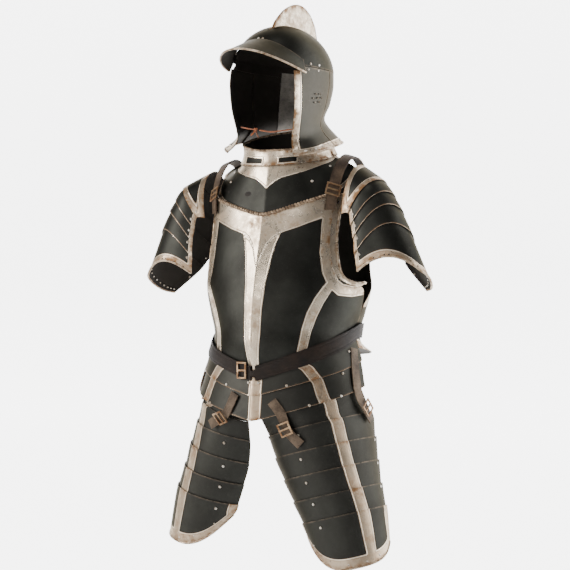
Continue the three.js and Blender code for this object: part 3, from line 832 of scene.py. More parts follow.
def along_path(x, y, path):
    """How far inside a band that follows a path of (x, y, half width), in mm."""
    best = np.full(x.shape, -FAR)
    for (x0, y0, w0), (x1, y1, w1) in zip(path, path[1:]):
        dx, dy = x1 - x0, y1 - y0
        t = np.clip(((x - x0) * dx + (y - y0) * dy) / (dx * dx + dy * dy), 0, 1)
        d = np.hypot(x - x0 - t * dx, y - y0 - t * dy)
        best = np.maximum(best, w0 + (w1 - w0) * t - d)
    return best


NECK_BAND = [(0, -205), (1.5, -195), (6.5, -163), (12, -148), (18.5, -139), (35, -127),
             (54, -109), (90, -100)]
STRIP = [(-430, 3.6), (-392, 4.6), (-346, 6.3), (-296, 6.9), (-240, 8.7), (-187, 12.6),
         (-160, 15.6), (-140, 19.5), (-120, 22)]
SIDE_BAND = [(57.5, -238, 8), (54, -252, 9.5), (48.5, -276, 10.5), (43.6, -304, 11),
             (40, -334, 10.5), (36.4, -376, 9.5), (34, -410, 9)]
ARM_BAND = [(63.5, -45, 12), (57.5, -122, 12), (54.4, -180, 12), (55.2, -216, 12),
            (58.6, -241, 12), (64, -253, 12), (74, -256, 11), (92, -250, 10)]


def breast_mask(u, v, p, away):
    """Neck band, strip, side and armhole bands. A dark line parts the strip from the neck band."""
    degrees = np.degrees(np.arctan2(p[..., 0], -p[..., 1]))
    around, z = np.abs(degrees), p[..., 2]
    neck = z - near(around, NECK_BAND)
    strip = (near(z, STRIP) - around) * DEGREE
    band = np.maximum(neck, strip)
    band = np.where(strip > 0, np.minimum(band, np.abs(neck) - 1.0), band)
    for path in (SIDE_BAND, ARM_BAND):
        path = [(x * DEGREE, y, w) for x, y, w in path]
        band = np.maximum(band, along_path(around * DEGREE, z, path))
    return band


plate("breastplate", breast, stations(-1, 1, 3.6, 500), stations(0, 6, 3.6, 330), 0,
      breast_mask)

BACK_BORDER, BACK_FOOT, BACK_STRIP = 20, 16, 11
BACK_REACH = 150  # mm from the spine to the back plate's side


def back_mask(u, v, p, away):
    side = np.where(v > 2.2, np.minimum(away["left"], away["right"]), FAR)
    edge = np.minimum(side, away["top"])
    strip = BACK_STRIP - np.abs(u) * BACK_REACH
    return np.maximum(np.maximum(BACK_BORDER - edge, BACK_FOOT - away["bottom"]), strip)


plate("backplate", back_of_body, stations(-1, 1, 5, 460), stations(0, 6, 5, 330), 0,
      back_mask)

SIDES = (("left", 1), ("right", -1))
for name, side in SIDES:
    strip = lambda u, v, side=side: breast(side * u, v)
    plate(f"gusset_{name}", strip, stations(0.94, 1.09, 3, 30), stations(2.2, 5.9, 4, 200), -LAP,
          all_over(ALL_BRIGHT), facing=side, finish="bright_steel")
print("cuirass:", made_triangles)

# %% [markdown]
# ## Fauld and tassets
# Below the belt two lames follow the hips, and six plates go down each thigh. The fauld's
# plates lap downwards and the tassets' lap upwards, so each plate's free edge is a thin bright
# line. A bright band runs down the middle of each row of plates. One surface carries each whole
# row, and each plate takes its own stretch of it, tilted a little so that it clears the next.

# %% Fauld lames and tasset plates
FAULD_BAND = [(0, 0.32), (0.5, 0.44), (1.08, 0.53), (2, 0.605)]
THIGH_BAND = [(0, 0.30), (0.2, 0.27), (0.6, 0.18), (1, 0.135), (2, 0.195), (3, 0.25),
              (4, 0.31), (5, 0.365), (6, 0.43)]
FAULD_REACH = 215  # mm from a lame's middle to its side
FAULD_MIDDLE = 0.02
MIDDLE_HALF, SIDE_HALF, THIGH_HALF = 12.5, 10, 13.5
LAME_EDGE, LAST_BORDER = 0.7, 22


def fauld_mask(u, v, p, away):
    aside = np.abs(u - FAULD_MIDDLE)
    middle = MIDDLE_HALF - aside * FAULD_REACH
    side = SIDE_HALF - np.abs(aside - near(v, FAULD_BAND)) * FAULD_REACH
    return np.maximum(np.maximum(middle, side), LAME_EDGE - away["bottom"])


for number, first in ((1, 0.0), (2, 0.82)):
    tilt = lambda u, v, first=first, number=number: LAP * (v - first) / (number - first)
    plate(f"fauld_lame_{number}", fauld, stations(-1, 1, 4, 480), stations(first, number, 3.5, 75),
          tilt, fauld_mask, facing=-1, finish="leg_steel")


def thigh_mask(number, aside):
    """The band down the thigh, and on the last plate its wide border too."""

    def mask(u, s, p, away):
        width = (away["left"] + away["right"]) / 2
        band = THIGH_HALF - np.abs(u - aside - near(s, THIGH_BAND)) * width
        if number < 6:
            return band
        sides = np.minimum(away["left"], away["right"])
        return np.maximum(band, LAST_BORDER - np.minimum(away["bottom"], sides))

    return mask


def tasset_tilt(number, first):
    """How far a tasset plate's inner side stands off, so that it laps over the one above."""
    if number == 1:
        return lambda u, s: 1.5 * (s - 1)
    return lambda u, s: LAP * (number - s) / (number - first)


for name, side in SIDES:
    surface = mirrored(tasset(HANG[name]), side)
    aside = 0 if name == "left" else -0.34
    for number in range(1, 7):
        first = 0.0 if number == 1 else number - 1.2
        size = 110 if number == 6 else 60
        plate(f"tasset_{name}_{number}", surface, stations(-1, 1, 4, 260),
              stations(first, number, 3.5, size), tasset_tilt(number, first),
              thigh_mask(number, aside), facing=-side, finish="leg_steel")
print("fauld and tassets:", sum(made_triangles.values()), "triangles so far")

# %% [markdown]
# ## Gorget
# The collar is a bright band that turns over at its rim, and the main plates spread from it
# over the shoulders. The bright border at the collar's foot dips to a point in front, and two
# patches by the collar's rim have kept their black. Front and back halves are cut from one
# surface all round the neck, so their bands meet at the sides.

# %% Collar and gorget plates
COLLAR_FOOT = [(0, 3.70), (4, 3.52), (8, 3.38), (17, 3.12), (32, 2.98), (46, 2.85),
               (65, 2.52), (90, 2.3), (180, 2.3)]
GORGET_ROW, COLLAR_ROW = 30, 17  # mm from one row of the gorget's table to the next
COLLAR_DEGREE = 1.6  # mm round the collar for each degree
GORGET_BORDER = 8.5
WORN_PLACES = [(-25, 15), (25, 11)]  # middle and half width of each black patch, in degrees


def gorget_mask(u, s, p, away):
    around = np.abs((u + 180) % 360 - 180)
    foot = (near(around, COLLAR_FOOT) - s) * GORGET_ROW
    return np.maximum(foot, GORGET_BORDER - away["bottom"])


def worn_black(u, s, middle, half):
    """Distance outside a patch of the collar that kept its black, in mm."""
    across = (np.abs(u - middle) - half) * COLLAR_DEGREE
    along = (np.abs(s - 1.3) - 0.35) * COLLAR_ROW
    return np.maximum(across, along)


def collar_mask(u, s, p, away):
    return np.minimum(6, np.min([worn_black(u, s, *place) for place in WORN_PLACES], axis=0))


for name, first, last in (("front", -89.5, 89.5), ("back", 90.5, 269.5)):
    ring = stations(first, last, 4, 420)
    plate(f"collar_{name}", gorget, ring, stations(0, 1.95, 3, 44), LAP - STEEL, collar_mask,
          facing=-1, finish="bright_steel")
    plate(f"gorget_{name}", gorget, ring, stations(1.7, 5, 3.5, 110), -STEEL, gorget_mask,
          facing=-1)
print("gorget too:", sum(made_triangles.values()), "triangles so far")

# %% [markdown]
# ## Pauldrons
# Five plates cover each shoulder. The top one is bright round a dark oval, and the lames below
# it are dark with a bright border in front, where the leathers hold them together. As on the
# legs, one surface over the shoulder carries them all, and the other shoulder is its mirror.

# %% Shoulder plates
ARM_FRONT, ARM_BACK, ARM_FOOT, ARM_EDGE = 12, 9, 15, 1.2  # widths of the bright borders
OVAL_AT, OVAL_HALF = (92, 0.53), (74, 0.30)  # in the shoulder's own two numbers
OVAL_RADIUS = 34  # mm


def shoulder_mask(number):
    """The top plate is bright round a dark oval, and the others have bright borders."""

    def mask(u, s, p, away):
        front, back = ARM_FRONT - away["left"], ARM_BACK - away["right"]
        if number == 1:
            reach = np.hypot((u - OVAL_AT[0]) / OVAL_HALF[0], (s - OVAL_AT[1]) / OVAL_HALF[1])
            return np.maximum((reach - 1) * OVAL_RADIUS, front)
        low = (ARM_FOOT if number == 5 else ARM_EDGE) - away["bottom"]
        return np.maximum(np.maximum(front, back), low)

    return mask


for name, side in SIDES:
    surface = mirrored(shoulder, side)
    for number in range(1, 6):
        first = 0.0 if number == 1 else number - 1.25
        inner = lambda u, s, n=number, first=first: LAP * (s - first) / (n - first)
        size = 95 if number == 5 else 60
        plate(f"pauldron_{name}_{number}", surface, stations(0, 180, 4, 300),
              stations(first, number, 3.5, size), inner, shoulder_mask(number),
              facing=-side, finish="stained_steel")
print("pauldrons too:", sum(made_triangles.values()), "triangles so far")

# %% [markdown]
# ## Bowl and comb
# The bowl and its tall comb are raised from one sheet of steel, and the comb is bright where the
# bowl is black. The bowl closes at its crown, so it can't be one plate with four edges like the
# others: it is a ring of stations from crown to brow, twice over, with the comb's two cheeks and
# its rounded crest joined on.

# %% Bowl and comb
BOWL_AROUND, BOWL_DOWN = 120, 34
BOWL_FALL = 175  # mm over the bowl from crown to brow
COMB_ALONG, COMB_UP = 62, 15
COMB_TOP_HALF, COMB_FOOT_FLARE = 1.6, 5.4
CREST_HALF, CREST_RISE, CREST_SINK = 2.2, 2.4, 0.6


def grid_faces(rows, columns, closed=False, turned=False):
    faces = []
    for j in range(rows - 1):
        for i in range(columns if closed else columns - 1):
            a, b = j * columns + i, j * columns + (i + 1) % columns
            face = (a, b, b + columns, a + columns)
            faces.append(face[::-1] if turned else face)
    return faces


def bowl_part(p, bright, edge, inside, closed=False, turned=False):
    """One grid of the bowl: its points, its faces, and its stored lengths."""
    spread = lambda value: np.broadcast_to(value, p.shape[:2]).ravel()
    floats = {"bright": spread(bright), "edge": spread(edge), "inside": spread(inside)}
    return on_the_helmet(p).reshape(-1, 3), grid_faces(*p.shape[:2], closed, turned), floats


bowl_parts = []
u, v = np.meshgrid(np.linspace(-180, 180, BOWL_AROUND + 1)[:-1], np.linspace(0.004, 1, BOWL_DOWN))
for depth, inside in ((0, 0.0), (-STEEL, 1.0)):
    p = dome(u, v) + normals(dome, u, v, -1) * depth
    bowl_parts.append(
        bowl_part(p, ALL_BLACK, (1 - v) * BOWL_FALL, inside, closed=True, turned=inside < 0.5)
    )

y, v = np.meshgrid(
    np.linspace(COMB["y"][0], COMB["y"][-1], COMB_ALONG), np.linspace(0, 1, COMB_UP)
)
height = np.linalg.norm(comb(y, 1 + 0 * v) - comb(y, 0 * v), axis=-1)
for side in (1, -1):
    p = comb(y, v)
    flare = COMB_FOOT_FLARE * (1 - v) ** 2.2 * np.minimum(1, height / 30)
    p[..., 0] += side * (COMB_TOP_HALF + flare)
    bowl_parts.append(bowl_part(p, ALL_BRIGHT, (1 - v) * height, 0.0, turned=side < 0))

ridge = comb(y[:1], 1 + 0 * v[:1])[0]
crest = []
for a in np.linspace(-math.pi / 2, math.pi / 2, 7):
    crest.append(ridge + [CREST_HALF * math.sin(a), 0, CREST_RISE * math.cos(a) - CREST_SINK])
crest = np.stack(crest)
bowl_parts.append(bowl_part(crest, ALL_BRIGHT, 1.0, 0.0))

vertices, faces, floats, start = [], [], {"bright": [], "edge": [], "inside": []}, 0
for p, part_faces, lengths_here in bowl_parts:
    vertices.append(p)
    faces += [tuple(start + i for i in face) for face in part_faces]
    for key in floats:
        floats[key].append(lengths_here[key])
    start += len(p)
floats = {key: np.concatenate(values) for key, values in floats.items()}
bowl = new_object("helmet_bowl_plate", np.concatenate(vertices) * MM, faces,
                  steels["black_steel"], floats)
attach(bowl, "harness")
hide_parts("helmet_bowl")
print("bowl and comb:", made_triangles["helmet_bowl_plate"], "triangles")

# %% [markdown]
# ## Peak, cheek pieces and neck guard
# A peak stands over the brow, two hinged cheek pieces close the sides, and a flared guard covers
# the nape. On the real helmet each plate laps under its neighbour, so no light comes through
# the seams. Here the plates keep clear of each other, and thin dark laps inside close the seams.

# %% Plates of the helmet
LAP_DEPTH, LAP_THICK = 2 * STEEL + 1.2, STEEL + 0.4
CHEEK_FRONT, CHEEK_FOOT, NAPE_FOOT, BRIM = 17, 15, 15, 2.5  # widths of the bright borders


def cheek_mask(u, v, p, away):
    return np.maximum(CHEEK_FRONT - away["left"], CHEEK_FOOT - away["bottom"])


def nape_mask(u, v, p, away):
    return NAPE_FOOT - away["bottom"]


def brim_mask(u, v, p, away):
    return BRIM - away["bottom"]


def under_brow(u, v):
    """A strap of steel inside the seam between the bowl and the walls below it."""
    return helmet_wall(u, 0.0 * v) + points(0 * v, 0 * v, -v)


wall, brim = on_helmet(helmet_wall), on_helmet(peak)
# The cheek pieces and the neck guard take the lighter grey steel, whose grey is a painted
# reflection.
for name, side in SIDES:
    plate(f"cheek_{name}", on_helmet(mirrored(cheek, side)), stations(46, 112, 3, 130),
          stations(0, 1, 3, 200), -STEEL, cheek_mask, facing=-side, body=f"cheek_{name}",
          finish="reflection_grey_steel")
plate("neck_guard", wall, stations(113.5, 246.5, 4, 260), stations(0.06, 4, 4, 190), -STEEL,
      nape_mask, facing=-1, finish="reflection_grey_stained")
plate("neck_guard_laps", wall, stations(106, 254, 4, 260), stations(0.04, 3.96, 4, 190),
      -LAP_DEPTH, all_over(ALL_BLACK), facing=-1, thick=LAP_THICK, extra=True)
plate("brow_lap", on_helmet(under_brow), stations(58, 302, 4, 420), stations(-9, 11, 4, 12),
      -LAP_DEPTH, all_over(ALL_BLACK), facing=-1, thick=LAP_THICK, extra=True)
plate("helmet_peak", brim, stations(-88, 88, 3, 300), stations(0, 1, 3, 70), 0.5,
      brim_mask, facing=-1)
print("plates:", sum(made_triangles.values()), "triangles")

# %% [markdown]
# ## Leather, iron and lace
# Two more rules make the rest of the finishes. Old harness leather is nearly black brown, with a
# fine grain, creases and paler worn places, and the belt, the shoulder straps and the tasset
# straps have each aged in their own way. The helmet's lining is pale grey leather, and its pale
# grey is painted light: the key lamp's light falling on the helmet's inside. Iron has gone brown
# where it was never polished: on the buckles, in the roped rims, and less so on rivets and rolls;
# the roped rims are darker still, with painted shade for the shade in the rope's notches. The
# holes are painted shade, the near-black inside of each hole. The lace is a dyed cord, and its
# twist is already in its shape, so its finish only adds fibres.

# %% Leather, iron and lace finishes
def leather(name, dark, worn):
    f = Finish(name)
    f.shader.inputs["Specular IOR Level"].default_value = 0.2
    clouds, grain = f.noise(40, 3), f.noise(1.6, 3, 0.7)
    creases = f.noise(7, 3, 0.6, stretch=(1, 1, 3))
    colour = f.mix(clouds.step(0.35, 0.7), dark, worn)
    colour = f.mix(creases.step(0.55, 0.72) * 0.55, colour, [c * 0.35 for c in dark])
    colour = f.mix(grain.step(0.55, 0.75) * 0.35, colour, [c * 1.5 for c in worn])
    f.feed(Base_Color=colour, Roughness=(0.52 + grain * 0.3).held())
    f.bump(grain * 0.5 + creases * 1.2, 0.5, 0.6)
    return f.material


def iron(name, clean, brown, metallic=0.75):
    f = Finish(name, metallic=metallic)
    clouds, spots = f.noise(11, 3), f.noise(2.2, 3, 0.7)
    share = (clouds.step(0.38, 0.62) * 0.7 + spots.step(0.5, 0.7) * 0.4).held()
    f.feed(Base_Color=f.mix(share, clean, brown), Roughness=(0.38 + share * 0.4).held())
    f.bump(spots, 0.25, 0.5)
    return f.material


dark_leather = leather("dark_leather", (0.004, 0.0025, 0.002), (0.014, 0.008, 0.005))
strap_leather = leather("strap_leather", (0.022, 0.014, 0.009), (0.105, 0.072, 0.048))
worn_leather = leather("worn_leather", (0.040, 0.027, 0.018), (0.165, 0.12, 0.083))
# Painted light: the lining's pale grey stands for the key lamp's light falling on the helmet's
# inside.
painted_light_lining = leather("painted_light_lining", (0.10, 0.095, 0.088), (0.22, 0.205, 0.185))
rusty_iron = iron("rusty_iron", (0.36, 0.25, 0.15), (0.12, 0.042, 0.012))
rivet_steel = iron("rivet_steel", (0.62, 0.60, 0.55), (0.22, 0.15, 0.09), 0.8)
roll_steel = iron("roll_steel", (0.46, 0.37, 0.27), (0.12, 0.062, 0.028), 0.7)
# Rust brown together with painted shade: darker for the shade in the rope's notches.
rope_rust_and_shade = iron("rope_rust_and_shade", (0.34, 0.25, 0.17), (0.045, 0.022, 0.011), 0.6)
# Painted shade: the near-black inside of a hole, put on flat dark spots.
painted_hole_shade = Finish("painted_hole_shade")
painted_hole_shade.feed(
    Base_Color=painted_hole_shade.mix(painted_hole_shade.noise(3), (0.006, 0.005, 0.005), (0.02, 0.016, 0.013)),
    Roughness=0.9,
)
cord_finish = Finish("twisted_lace", sheen=0.2)
cord_clouds = cord_finish.noise(9, 3)
cord_grain = cord_finish.noise(1.1, 2, 0.7, stretch=(1, 1, 2.5))
cord_finish.feed(
    Base_Color=cord_finish.mix(cord_clouds.step(0.35, 0.65), (0.30, 0.075, 0.016),
                               (0.14, 0.045, 0.016)),
    Roughness=0.85,
)
cord_finish.bump(cord_grain, 0.5, 0.8)
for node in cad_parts:
    if "buckle" in node:
        bpy.data.objects[node].data.materials.clear()
        bpy.data.objects[node].data.materials.append(rusty_iron)
print("finishes ready")

# %% [markdown]
# ## Rolled rims
# A plate's free edge is rolled over a wire, so that it is stiff and doesn't cut. At the breast's
# neck, round the collar and on the helmet the roll is filed into a rope. Each rim is a tube that
# follows the plate's own surface, a little out from it. The two great ropes are one piece, the
# thin rolls are another, and each cheek piece keeps its own, because it swings.

# %% Rolled and roped rims
def gather(name, parts, material, rider):
    """One piece from many small bodies of vertices and faces, in mm."""
    vertices, faces, start = [], [], 0
    for p, f in parts:
        vertices.append(p)
        faces += [tuple(start + i for i in face) for face in f]
        start += len(p)
    piece = new_object(name, np.concatenate(vertices) * MM, faces, material)
    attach(piece, rider)
    return piece


def rim(surface, us, vs, offset, facing):
    u, v = np.broadcast_arrays(np.asarray(us, float), np.asarray(vs, float))
    u, v = u[None], v[None]
    return (surface(u, v) + normals(surface, u, v, facing) * offset)[0]


roped = [
    tube(rim(breast, np.linspace(-0.97, 0.97, 420), 6, 2.4, 1), 4.0, 10, 6.5, 0.5),
    tube(rim(gorget, np.linspace(-89, 269, 560), 0.0, LAP - 0.9, -1), 2.5, 8, 4.6, 0.35),
]
gather("roped_rims", roped, rope_rust_and_shade, "harness")
plain_rims = []
for name, side in SIDES:
    hip = mirrored(tasset(HANG[name]), side)
    arm = mirrored(shoulder, side)
    strip = lambda u, v, side=side: breast(side * u, v)
    plain_rims += [
        tube(rim(strip, 1.09, np.linspace(2.2, 5.9, 90), -LAP + 1, side), 3.0, 8),
        tube(rim(hip, np.linspace(-0.98, 0.98, 110), 6, 1.2, -side), 2.2, 8),
        tube(rim(arm, np.linspace(1, 179, 120), 5, LAP + 1.2, -side), 2.3, 8),
    ]
plain_rims += [
    tube(rim(wall, np.linspace(114, 246, 110), 4, -0.9, -1), 2.3, 8, 4.6, 0.3),
    tube(rim(brim, np.linspace(-87, 87, 110), 1, 1.4, -1), 2.0, 8),
]
gather("plain_rims", plain_rims, roll_steel, "harness")
for name, side in SIDES:
    jaw = on_helmet(mirrored(cheek, side))
    low = tube(rim(jaw, np.linspace(46.5, 111.5, 70), 1, -0.9, -side), 2.3, 8, 4.6, 0.3)
    gather(f"cheek_rim_{name}", [low], roll_steel, f"cheek_{name}")
print("rims:", len(roped), "roped,", len(plain_rims), "plain, and two on the cheek pieces")

# %% [markdown]
# ## Knot
# The knot is a short piece of the same lace, turned three times round itself, with two free
# ends that hang below it. A trefoil is the simplest closed knot, so its formula makes the turns,
# and the ends run through a few points each. All of it stays with the right half of the lace.

# %% Knot and free ends
KNOT = np.array([-17.0, -55.0, 77.0])
KNOT_SIZE = 1.15
ENDS = [
    [(-17, -55, 77), (-19, -58, 71), (-23, -59.5, 66), (-25, -60, 64)],
    [(-17, -55, 77), (-13, -59, 72), (-7, -61.5, 65), (-3, -62, 61)],
]
t = np.linspace(0, 2 * math.pi, 60, endpoint=False)
loops = np.stack([np.sin(t) + 2 * np.sin(2 * t), -np.sin(3 * t), np.cos(t) - 2 * np.cos(2 * t)], 1)
knot_parts = [tube(KNOT + loops * KNOT_SIZE, LACE_RADIUS, 8, closed=True)]
for end in ENDS:
    end = np.array(end, float)
    fine = np.stack([np.interp(np.linspace(0, 3, 16), range(4), end[:, k]) for k in range(3)], 1)
    knot_parts.append(tube(fine, LACE_RADIUS, 8))
knot_parts = [(on_the_helmet(p), f) for p, f in knot_parts]
knot_piece = gather("lace_knot", knot_parts, cord_finish.material, "cheek_right")
for name, extra in (("left", []), ("right", [knot_piece])):
    laces[name].data.materials.append(cord_finish.material)
    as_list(extra)
print("knot and lace ends:", made_triangles["lace_knot"], "triangles")

# %% [markdown]
# ## Rivets and holes
# Small domed rivets hold the leathers under the plates and the linings round the rims. They
# are far too small for the solids, so they are added here, each one a low dome set on its
# plate's own surface. The plates' few holes are dark spots sunk at the same kind of place, and
# their near-black is painted shade, the dark inside of a hole.

# %% A low dome
DOME_SIDES = 10
DOME_ROWS = [(1.0, -0.6), (1.0, 0.0), (0.82, 0.55), (0.48, 0.88)]  # share of radius, of height
HOLE_HEIGHT = 0.12


def dome_faces():
    """Rings of quads between a dome's rows, and a fan up to its top."""
    rings, sides = len(DOME_ROWS) - 1, DOME_SIDES
    faces = []
    for j in range(rings):
        for i in range(sides):
            a, b = j * sides + i, j * sides + (i + 1) % sides
            faces.append((a + sides, b + sides, b, a))
    last = rings * sides
    return faces + [(last + sides, last + (i + 1) % sides, last + i) for i in range(sides)]


def domes(surface, places, offset, facing, radius, height=0.55, stretch=1.0):
    """Low domes on a surface. A dome `stretch` times as wide is longer across the plate."""
    made = []
    turn = np.linspace(0, 2 * math.pi, DOME_SIDES, endpoint=False)
    for u, v in places:
        middle, n = spot(surface, u, v, facing)
        middle = middle + n * offset
        x = np.cross(n, [0.0, 0.0, 1.0])
        x /= np.linalg.norm(x)
        y = np.cross(n, x)
        p = []
        for share, rise in DOME_ROWS:
            for a in turn:
                flat = share * (np.cos(a) * x * stretch + np.sin(a) * y)
                p.append(middle + radius * (flat + rise * height * n))
        p.append(middle + radius * height * n)
        made.append((np.array(p), dome_faces()))
    return made


print("one dome has", len(dome_faces()), "faces")

# %% [markdown]
# ## Where the rivets sit
# Rivets follow the leathers inside: one on each lame where a leather passes, and a row round each
# lined border. The places below are given in each plate's own two numbers, so a rivet stays on
# its plate if the plate changes. The keyhole is a stretched hole on the gorget, and the small
# holes in the cheek pieces make a flower over the ear, with their clenched ends inside.

# %% Rivets and holes
CUIRASS_RIVETS = [(50, -118.5), (55.3, -114), (68.7, -272), (86, -300)]
GORGET_RIVETS = [(73, 2.94), (50, 3.74), (-57.7, 3.71), (-66, 3.0), (110, 3.2), (250, 3.2),
                 (150, 3.9), (210, 3.9)]
KEYHOLE = (-24.8, 4.03)
GORGET_HOLES = [(-53.3, 4.27), (-60, 4.35)]
FAULD_RIVETS = [(0.838, 0.49), (0.93, 0.93), (0.76, 1.1), (0.75, 1.93), (0.89, 1.76),
                (0.045, 0.5), (0.3, 0.92), (0.5, 1.93)]
TASSET_ROWS = {"inner": (1.13, 2.15, 3.15, 4.08, 5.05), "outer": (0.95, 1.95, 2.95, 3.95, 4.95)}
TASSET_BORDER = [(-0.9, 5.35), (-0.68, 5.62), (-0.38, 5.8), (-0.05, 5.86), (0.3, 5.88),
                 (0.58, 5.86), (0.82, 5.8), (0.93, 5.4)]
ARM_ROWS = {7: (0.7, 1.6, 2.5, 3.4, 4.3), 173: (1.6, 2.5, 3.4, 4.3)}
ARM_HOLES = [(u, 4.9) for u in (12, 26, 40, 46, 85, 130, 150)]
BOWL_RIVETS = [(3.5, 0.84), (18.5, 0.93), (22, 0.93), (45.5, 0.93), (70, 0.96), (86, 0.96)]
CHEEK_RIVETS = [(54, 0.69), (62, 0.93), (76, 0.93), (90, 0.93), (104, 0.93), (66, 0.04),
                (84, 0.03)]
FLOWER = (84.2, 0.372)


def both_sides(places):
    return [(side * u, v) for u, v in places for side in (1, -1)]


rivets = domes(body, both_sides(CUIRASS_RIVETS), STEEL, -1, 3.1)
rivets += domes(gorget, GORGET_RIVETS, 0, -1, 3.0)
rivets += domes(fauld, both_sides(FAULD_RIVETS), LAP + STEEL - 0.6, -1, 2.9)
# The holes are flat domes of painted shade.
holes = domes(gorget, [KEYHOLE], 0, -1, 5.2, HOLE_HEIGHT, 1.7)
holes += domes(gorget, GORGET_HOLES, 0, -1, 2.4, HOLE_HEIGHT)
for name, side in SIDES:
    hip, arm = mirrored(tasset(HANG[name]), side), mirrored(shoulder, side)
    inner_u = -0.36 if name == "left" else -0.64
    column = [(inner_u, s) for s in TASSET_ROWS["inner"]]
    column += [(0.86, s) for s in TASSET_ROWS["outer"]]
    rivets += domes(hip, column, LAP + 1.2, -side, 2.9)
    rivets += domes(hip, TASSET_BORDER, STEEL, -side, 2.5)
    ends = [(u, s) for u, rows in ARM_ROWS.items() for s in rows]
    rivets += domes(arm, ends, LAP + 0.6, -side, 2.9)
    rivets += domes(arm, ends, -0.4, side, 2.2)
    rivets += domes(arm, [(u, 4.82) for u in range(8, 176, 10)], -0.4, side, 1.9)
    holes += domes(arm, ARM_HOLES, LAP + STEEL - 0.2, -side, 1.7, HOLE_HEIGHT)
rivets += domes(on_helmet(dome), both_sides(BOWL_RIVETS), 0.3, -1, 2.7)
rivets += domes(wall, [(d, 3.8) for d in range(120, 241, 15)], 0, -1, 2.4)
gather("rivets", rivets, rivet_steel, "harness")
gather("holes", holes, painted_hole_shade.material, "harness")
for name, side in SIDES:
    jaw = on_helmet(mirrored(cheek, side))
    flower = [FLOWER]
    for a in np.radians(range(0, 360, 60)):
        flower.append((FLOWER[0] + 9 * math.cos(a), FLOWER[1] + 0.058 * math.sin(a)))
    heads = domes(jaw, CHEEK_RIVETS, 0, -side, 2.6)
    clenched = domes(jaw, flower, -STEEL - 0.2, side, 1.9)
    spots = domes(jaw, flower, 0, -side, 1.7, HOLE_HEIGHT)
    hinged = f"cheek_{name}"
    gather(f"cheek_rivets_{name}", heads, rivet_steel, hinged)
    gather(f"cheek_clenches_{name}", clenched, rivet_steel, hinged)
    gather(f"cheek_holes_{name}", spots, painted_hole_shade.material, hinged)
print(len(rivets), "rivets and", len(holes), "holes, and those of the cheek pieces")

# %% [markdown]
# ## Belt and straps
# A wide belt holds the breast and back together at the waist, straps join them over the
# shoulders, and each tasset hangs from two more. They follow the same routes as the solids,
# with more stations and a thin groove by each edge. Cloth simulation isn't needed, because a
# strap under load lies straight from one point to the next. A strip of pale grey lining lies
# inside the nape, seen through the face opening, and its pale grey is painted light: the key
# lamp's light falling on the helmet's inside.

# %% Bands of leather, the belt and the lining of painted light
def band_of_leather(node, surface, us, vs, lift, thick, material, facing=1, closed=False,
                    extra=False):
    """A flat band over a surface. It stands for its solid, unless it is `extra` to them."""
    u, v = np.meshgrid(us, vs)
    p, n = surface(u, v), normals(surface, u, v, facing)
    sheets = [(p + n * side).reshape(-1, 3) for side in (lift + thick, lift)]
    faces = shell_faces(*u.shape, facing, closed)
    piece = new_object(node + "_leather", np.concatenate(sheets) * MM, faces, material)
    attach(piece, "harness")
    if not extra:
        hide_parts(node)
    return piece


def grooved(surface, facing, low, high, along_v=False, deep=0.4):
    """The same surface with a shallow groove by two edges, at `low` and `high` of u or of v."""

    def made(u, v):
        place = v if along_v else u
        share = np.minimum(np.abs(place - low), np.abs(place - high)) / (high - low)
        n = normals(surface, u, v, facing)
        dip = np.exp(-(((share - 0.13) / 0.035) ** 2)) + np.clip(1 - share / 0.05, 0, 1)
        return surface(u, v) - n * (deep * dip)[..., None]

    return made


BELT_LIFT, BELT_LEATHER, BELT_GROOVE = 4.9, 2.2, 0.7
LINING_DEPTH, LINING = 2 * STEEL + 3.2, 1.6
across = np.array([0, 0.03, 0.08, 0.11, 0.13, 0.15, 0.19, 0.3, 0.44, 0.5, 0.56, 0.7, 0.81, 0.85,
                   0.87, 0.89, 0.92, 0.97, 1])
# Painted light: this pale grey lining stands for the lit inside of the neck guard.
band_of_leather("nape_lining", wall, np.linspace(120, 216, 60), np.linspace(0.04, 3.9, 60),
                -LINING_DEPTH, LINING, painted_light_lining, facing=-1, extra=True)
band_of_leather("belt", grooved(belt, -1, 0, 1, True, BELT_GROOVE),
                np.linspace(-180, 180, 241)[:-1], across, BELT_LIFT, BELT_LEATHER, dark_leather,
                facing=-1, closed=True)
print("belt and lining:", made_triangles["belt_leather"], "and",
      made_triangles["nape_lining_leather"], "triangles")

# %% [markdown]
# ## Routes of the straps
# A strap is a strip through a few points, each with the direction across it. The shoulder strap's
# points are listed, over the top of the shoulder. A tasset's strap starts on the fauld
# and ends on the tasset, so its points are places on those two plates, lifted off them a little.

# %% Shoulder and tasset straps
SHOULDER_STRAP = [
    ((134, -82, -92), (0.74, 0.67, 0)),
    ((137, -76, -58), (0.78, 0.6, -0.1)),
    ((140, -50, -8), (0.9, 0.3, -0.3)),
    ((141, -15, 19), (0.95, 0, -0.3)),
    ((141, 25, 19), (0.95, 0, -0.3)),
    ((141, 66, -12), (0.9, -0.3, -0.3)),
    ((139, 92, -56), (0.78, -0.6, -0.1)),
    ((138, 102, -88), (0.74, -0.67, 0)),
]
TASSET_STRAPS = {
    "left_inner": (((0.18, 1.35), (0.27, 2)), ((-0.46, 0.85), (-0.32, 1.55))),
    "left_outer": (((0.9, 0.5), (0.9, 2)), ((0.72, 0.75), (0.72, 1.1))),
    "right_inner": (((0.18, 1.1), (0.27, 2)), ((-0.62, 0.85), (-0.46, 1.55))),
    "right_outer": (((0.9, 0.5), (0.9, 2)), ((0.72, 0.75), (0.72, 1.1))),
}
SHOULDER_STRAP_WIDTH, TASSET_STRAP_WIDTH, STRAP_LEATHER = 23, 20, 2.4
FAULD_LIFT, TASSET_LIFT = 5.9, 9.9  # mm that a strap stands off the plates under it


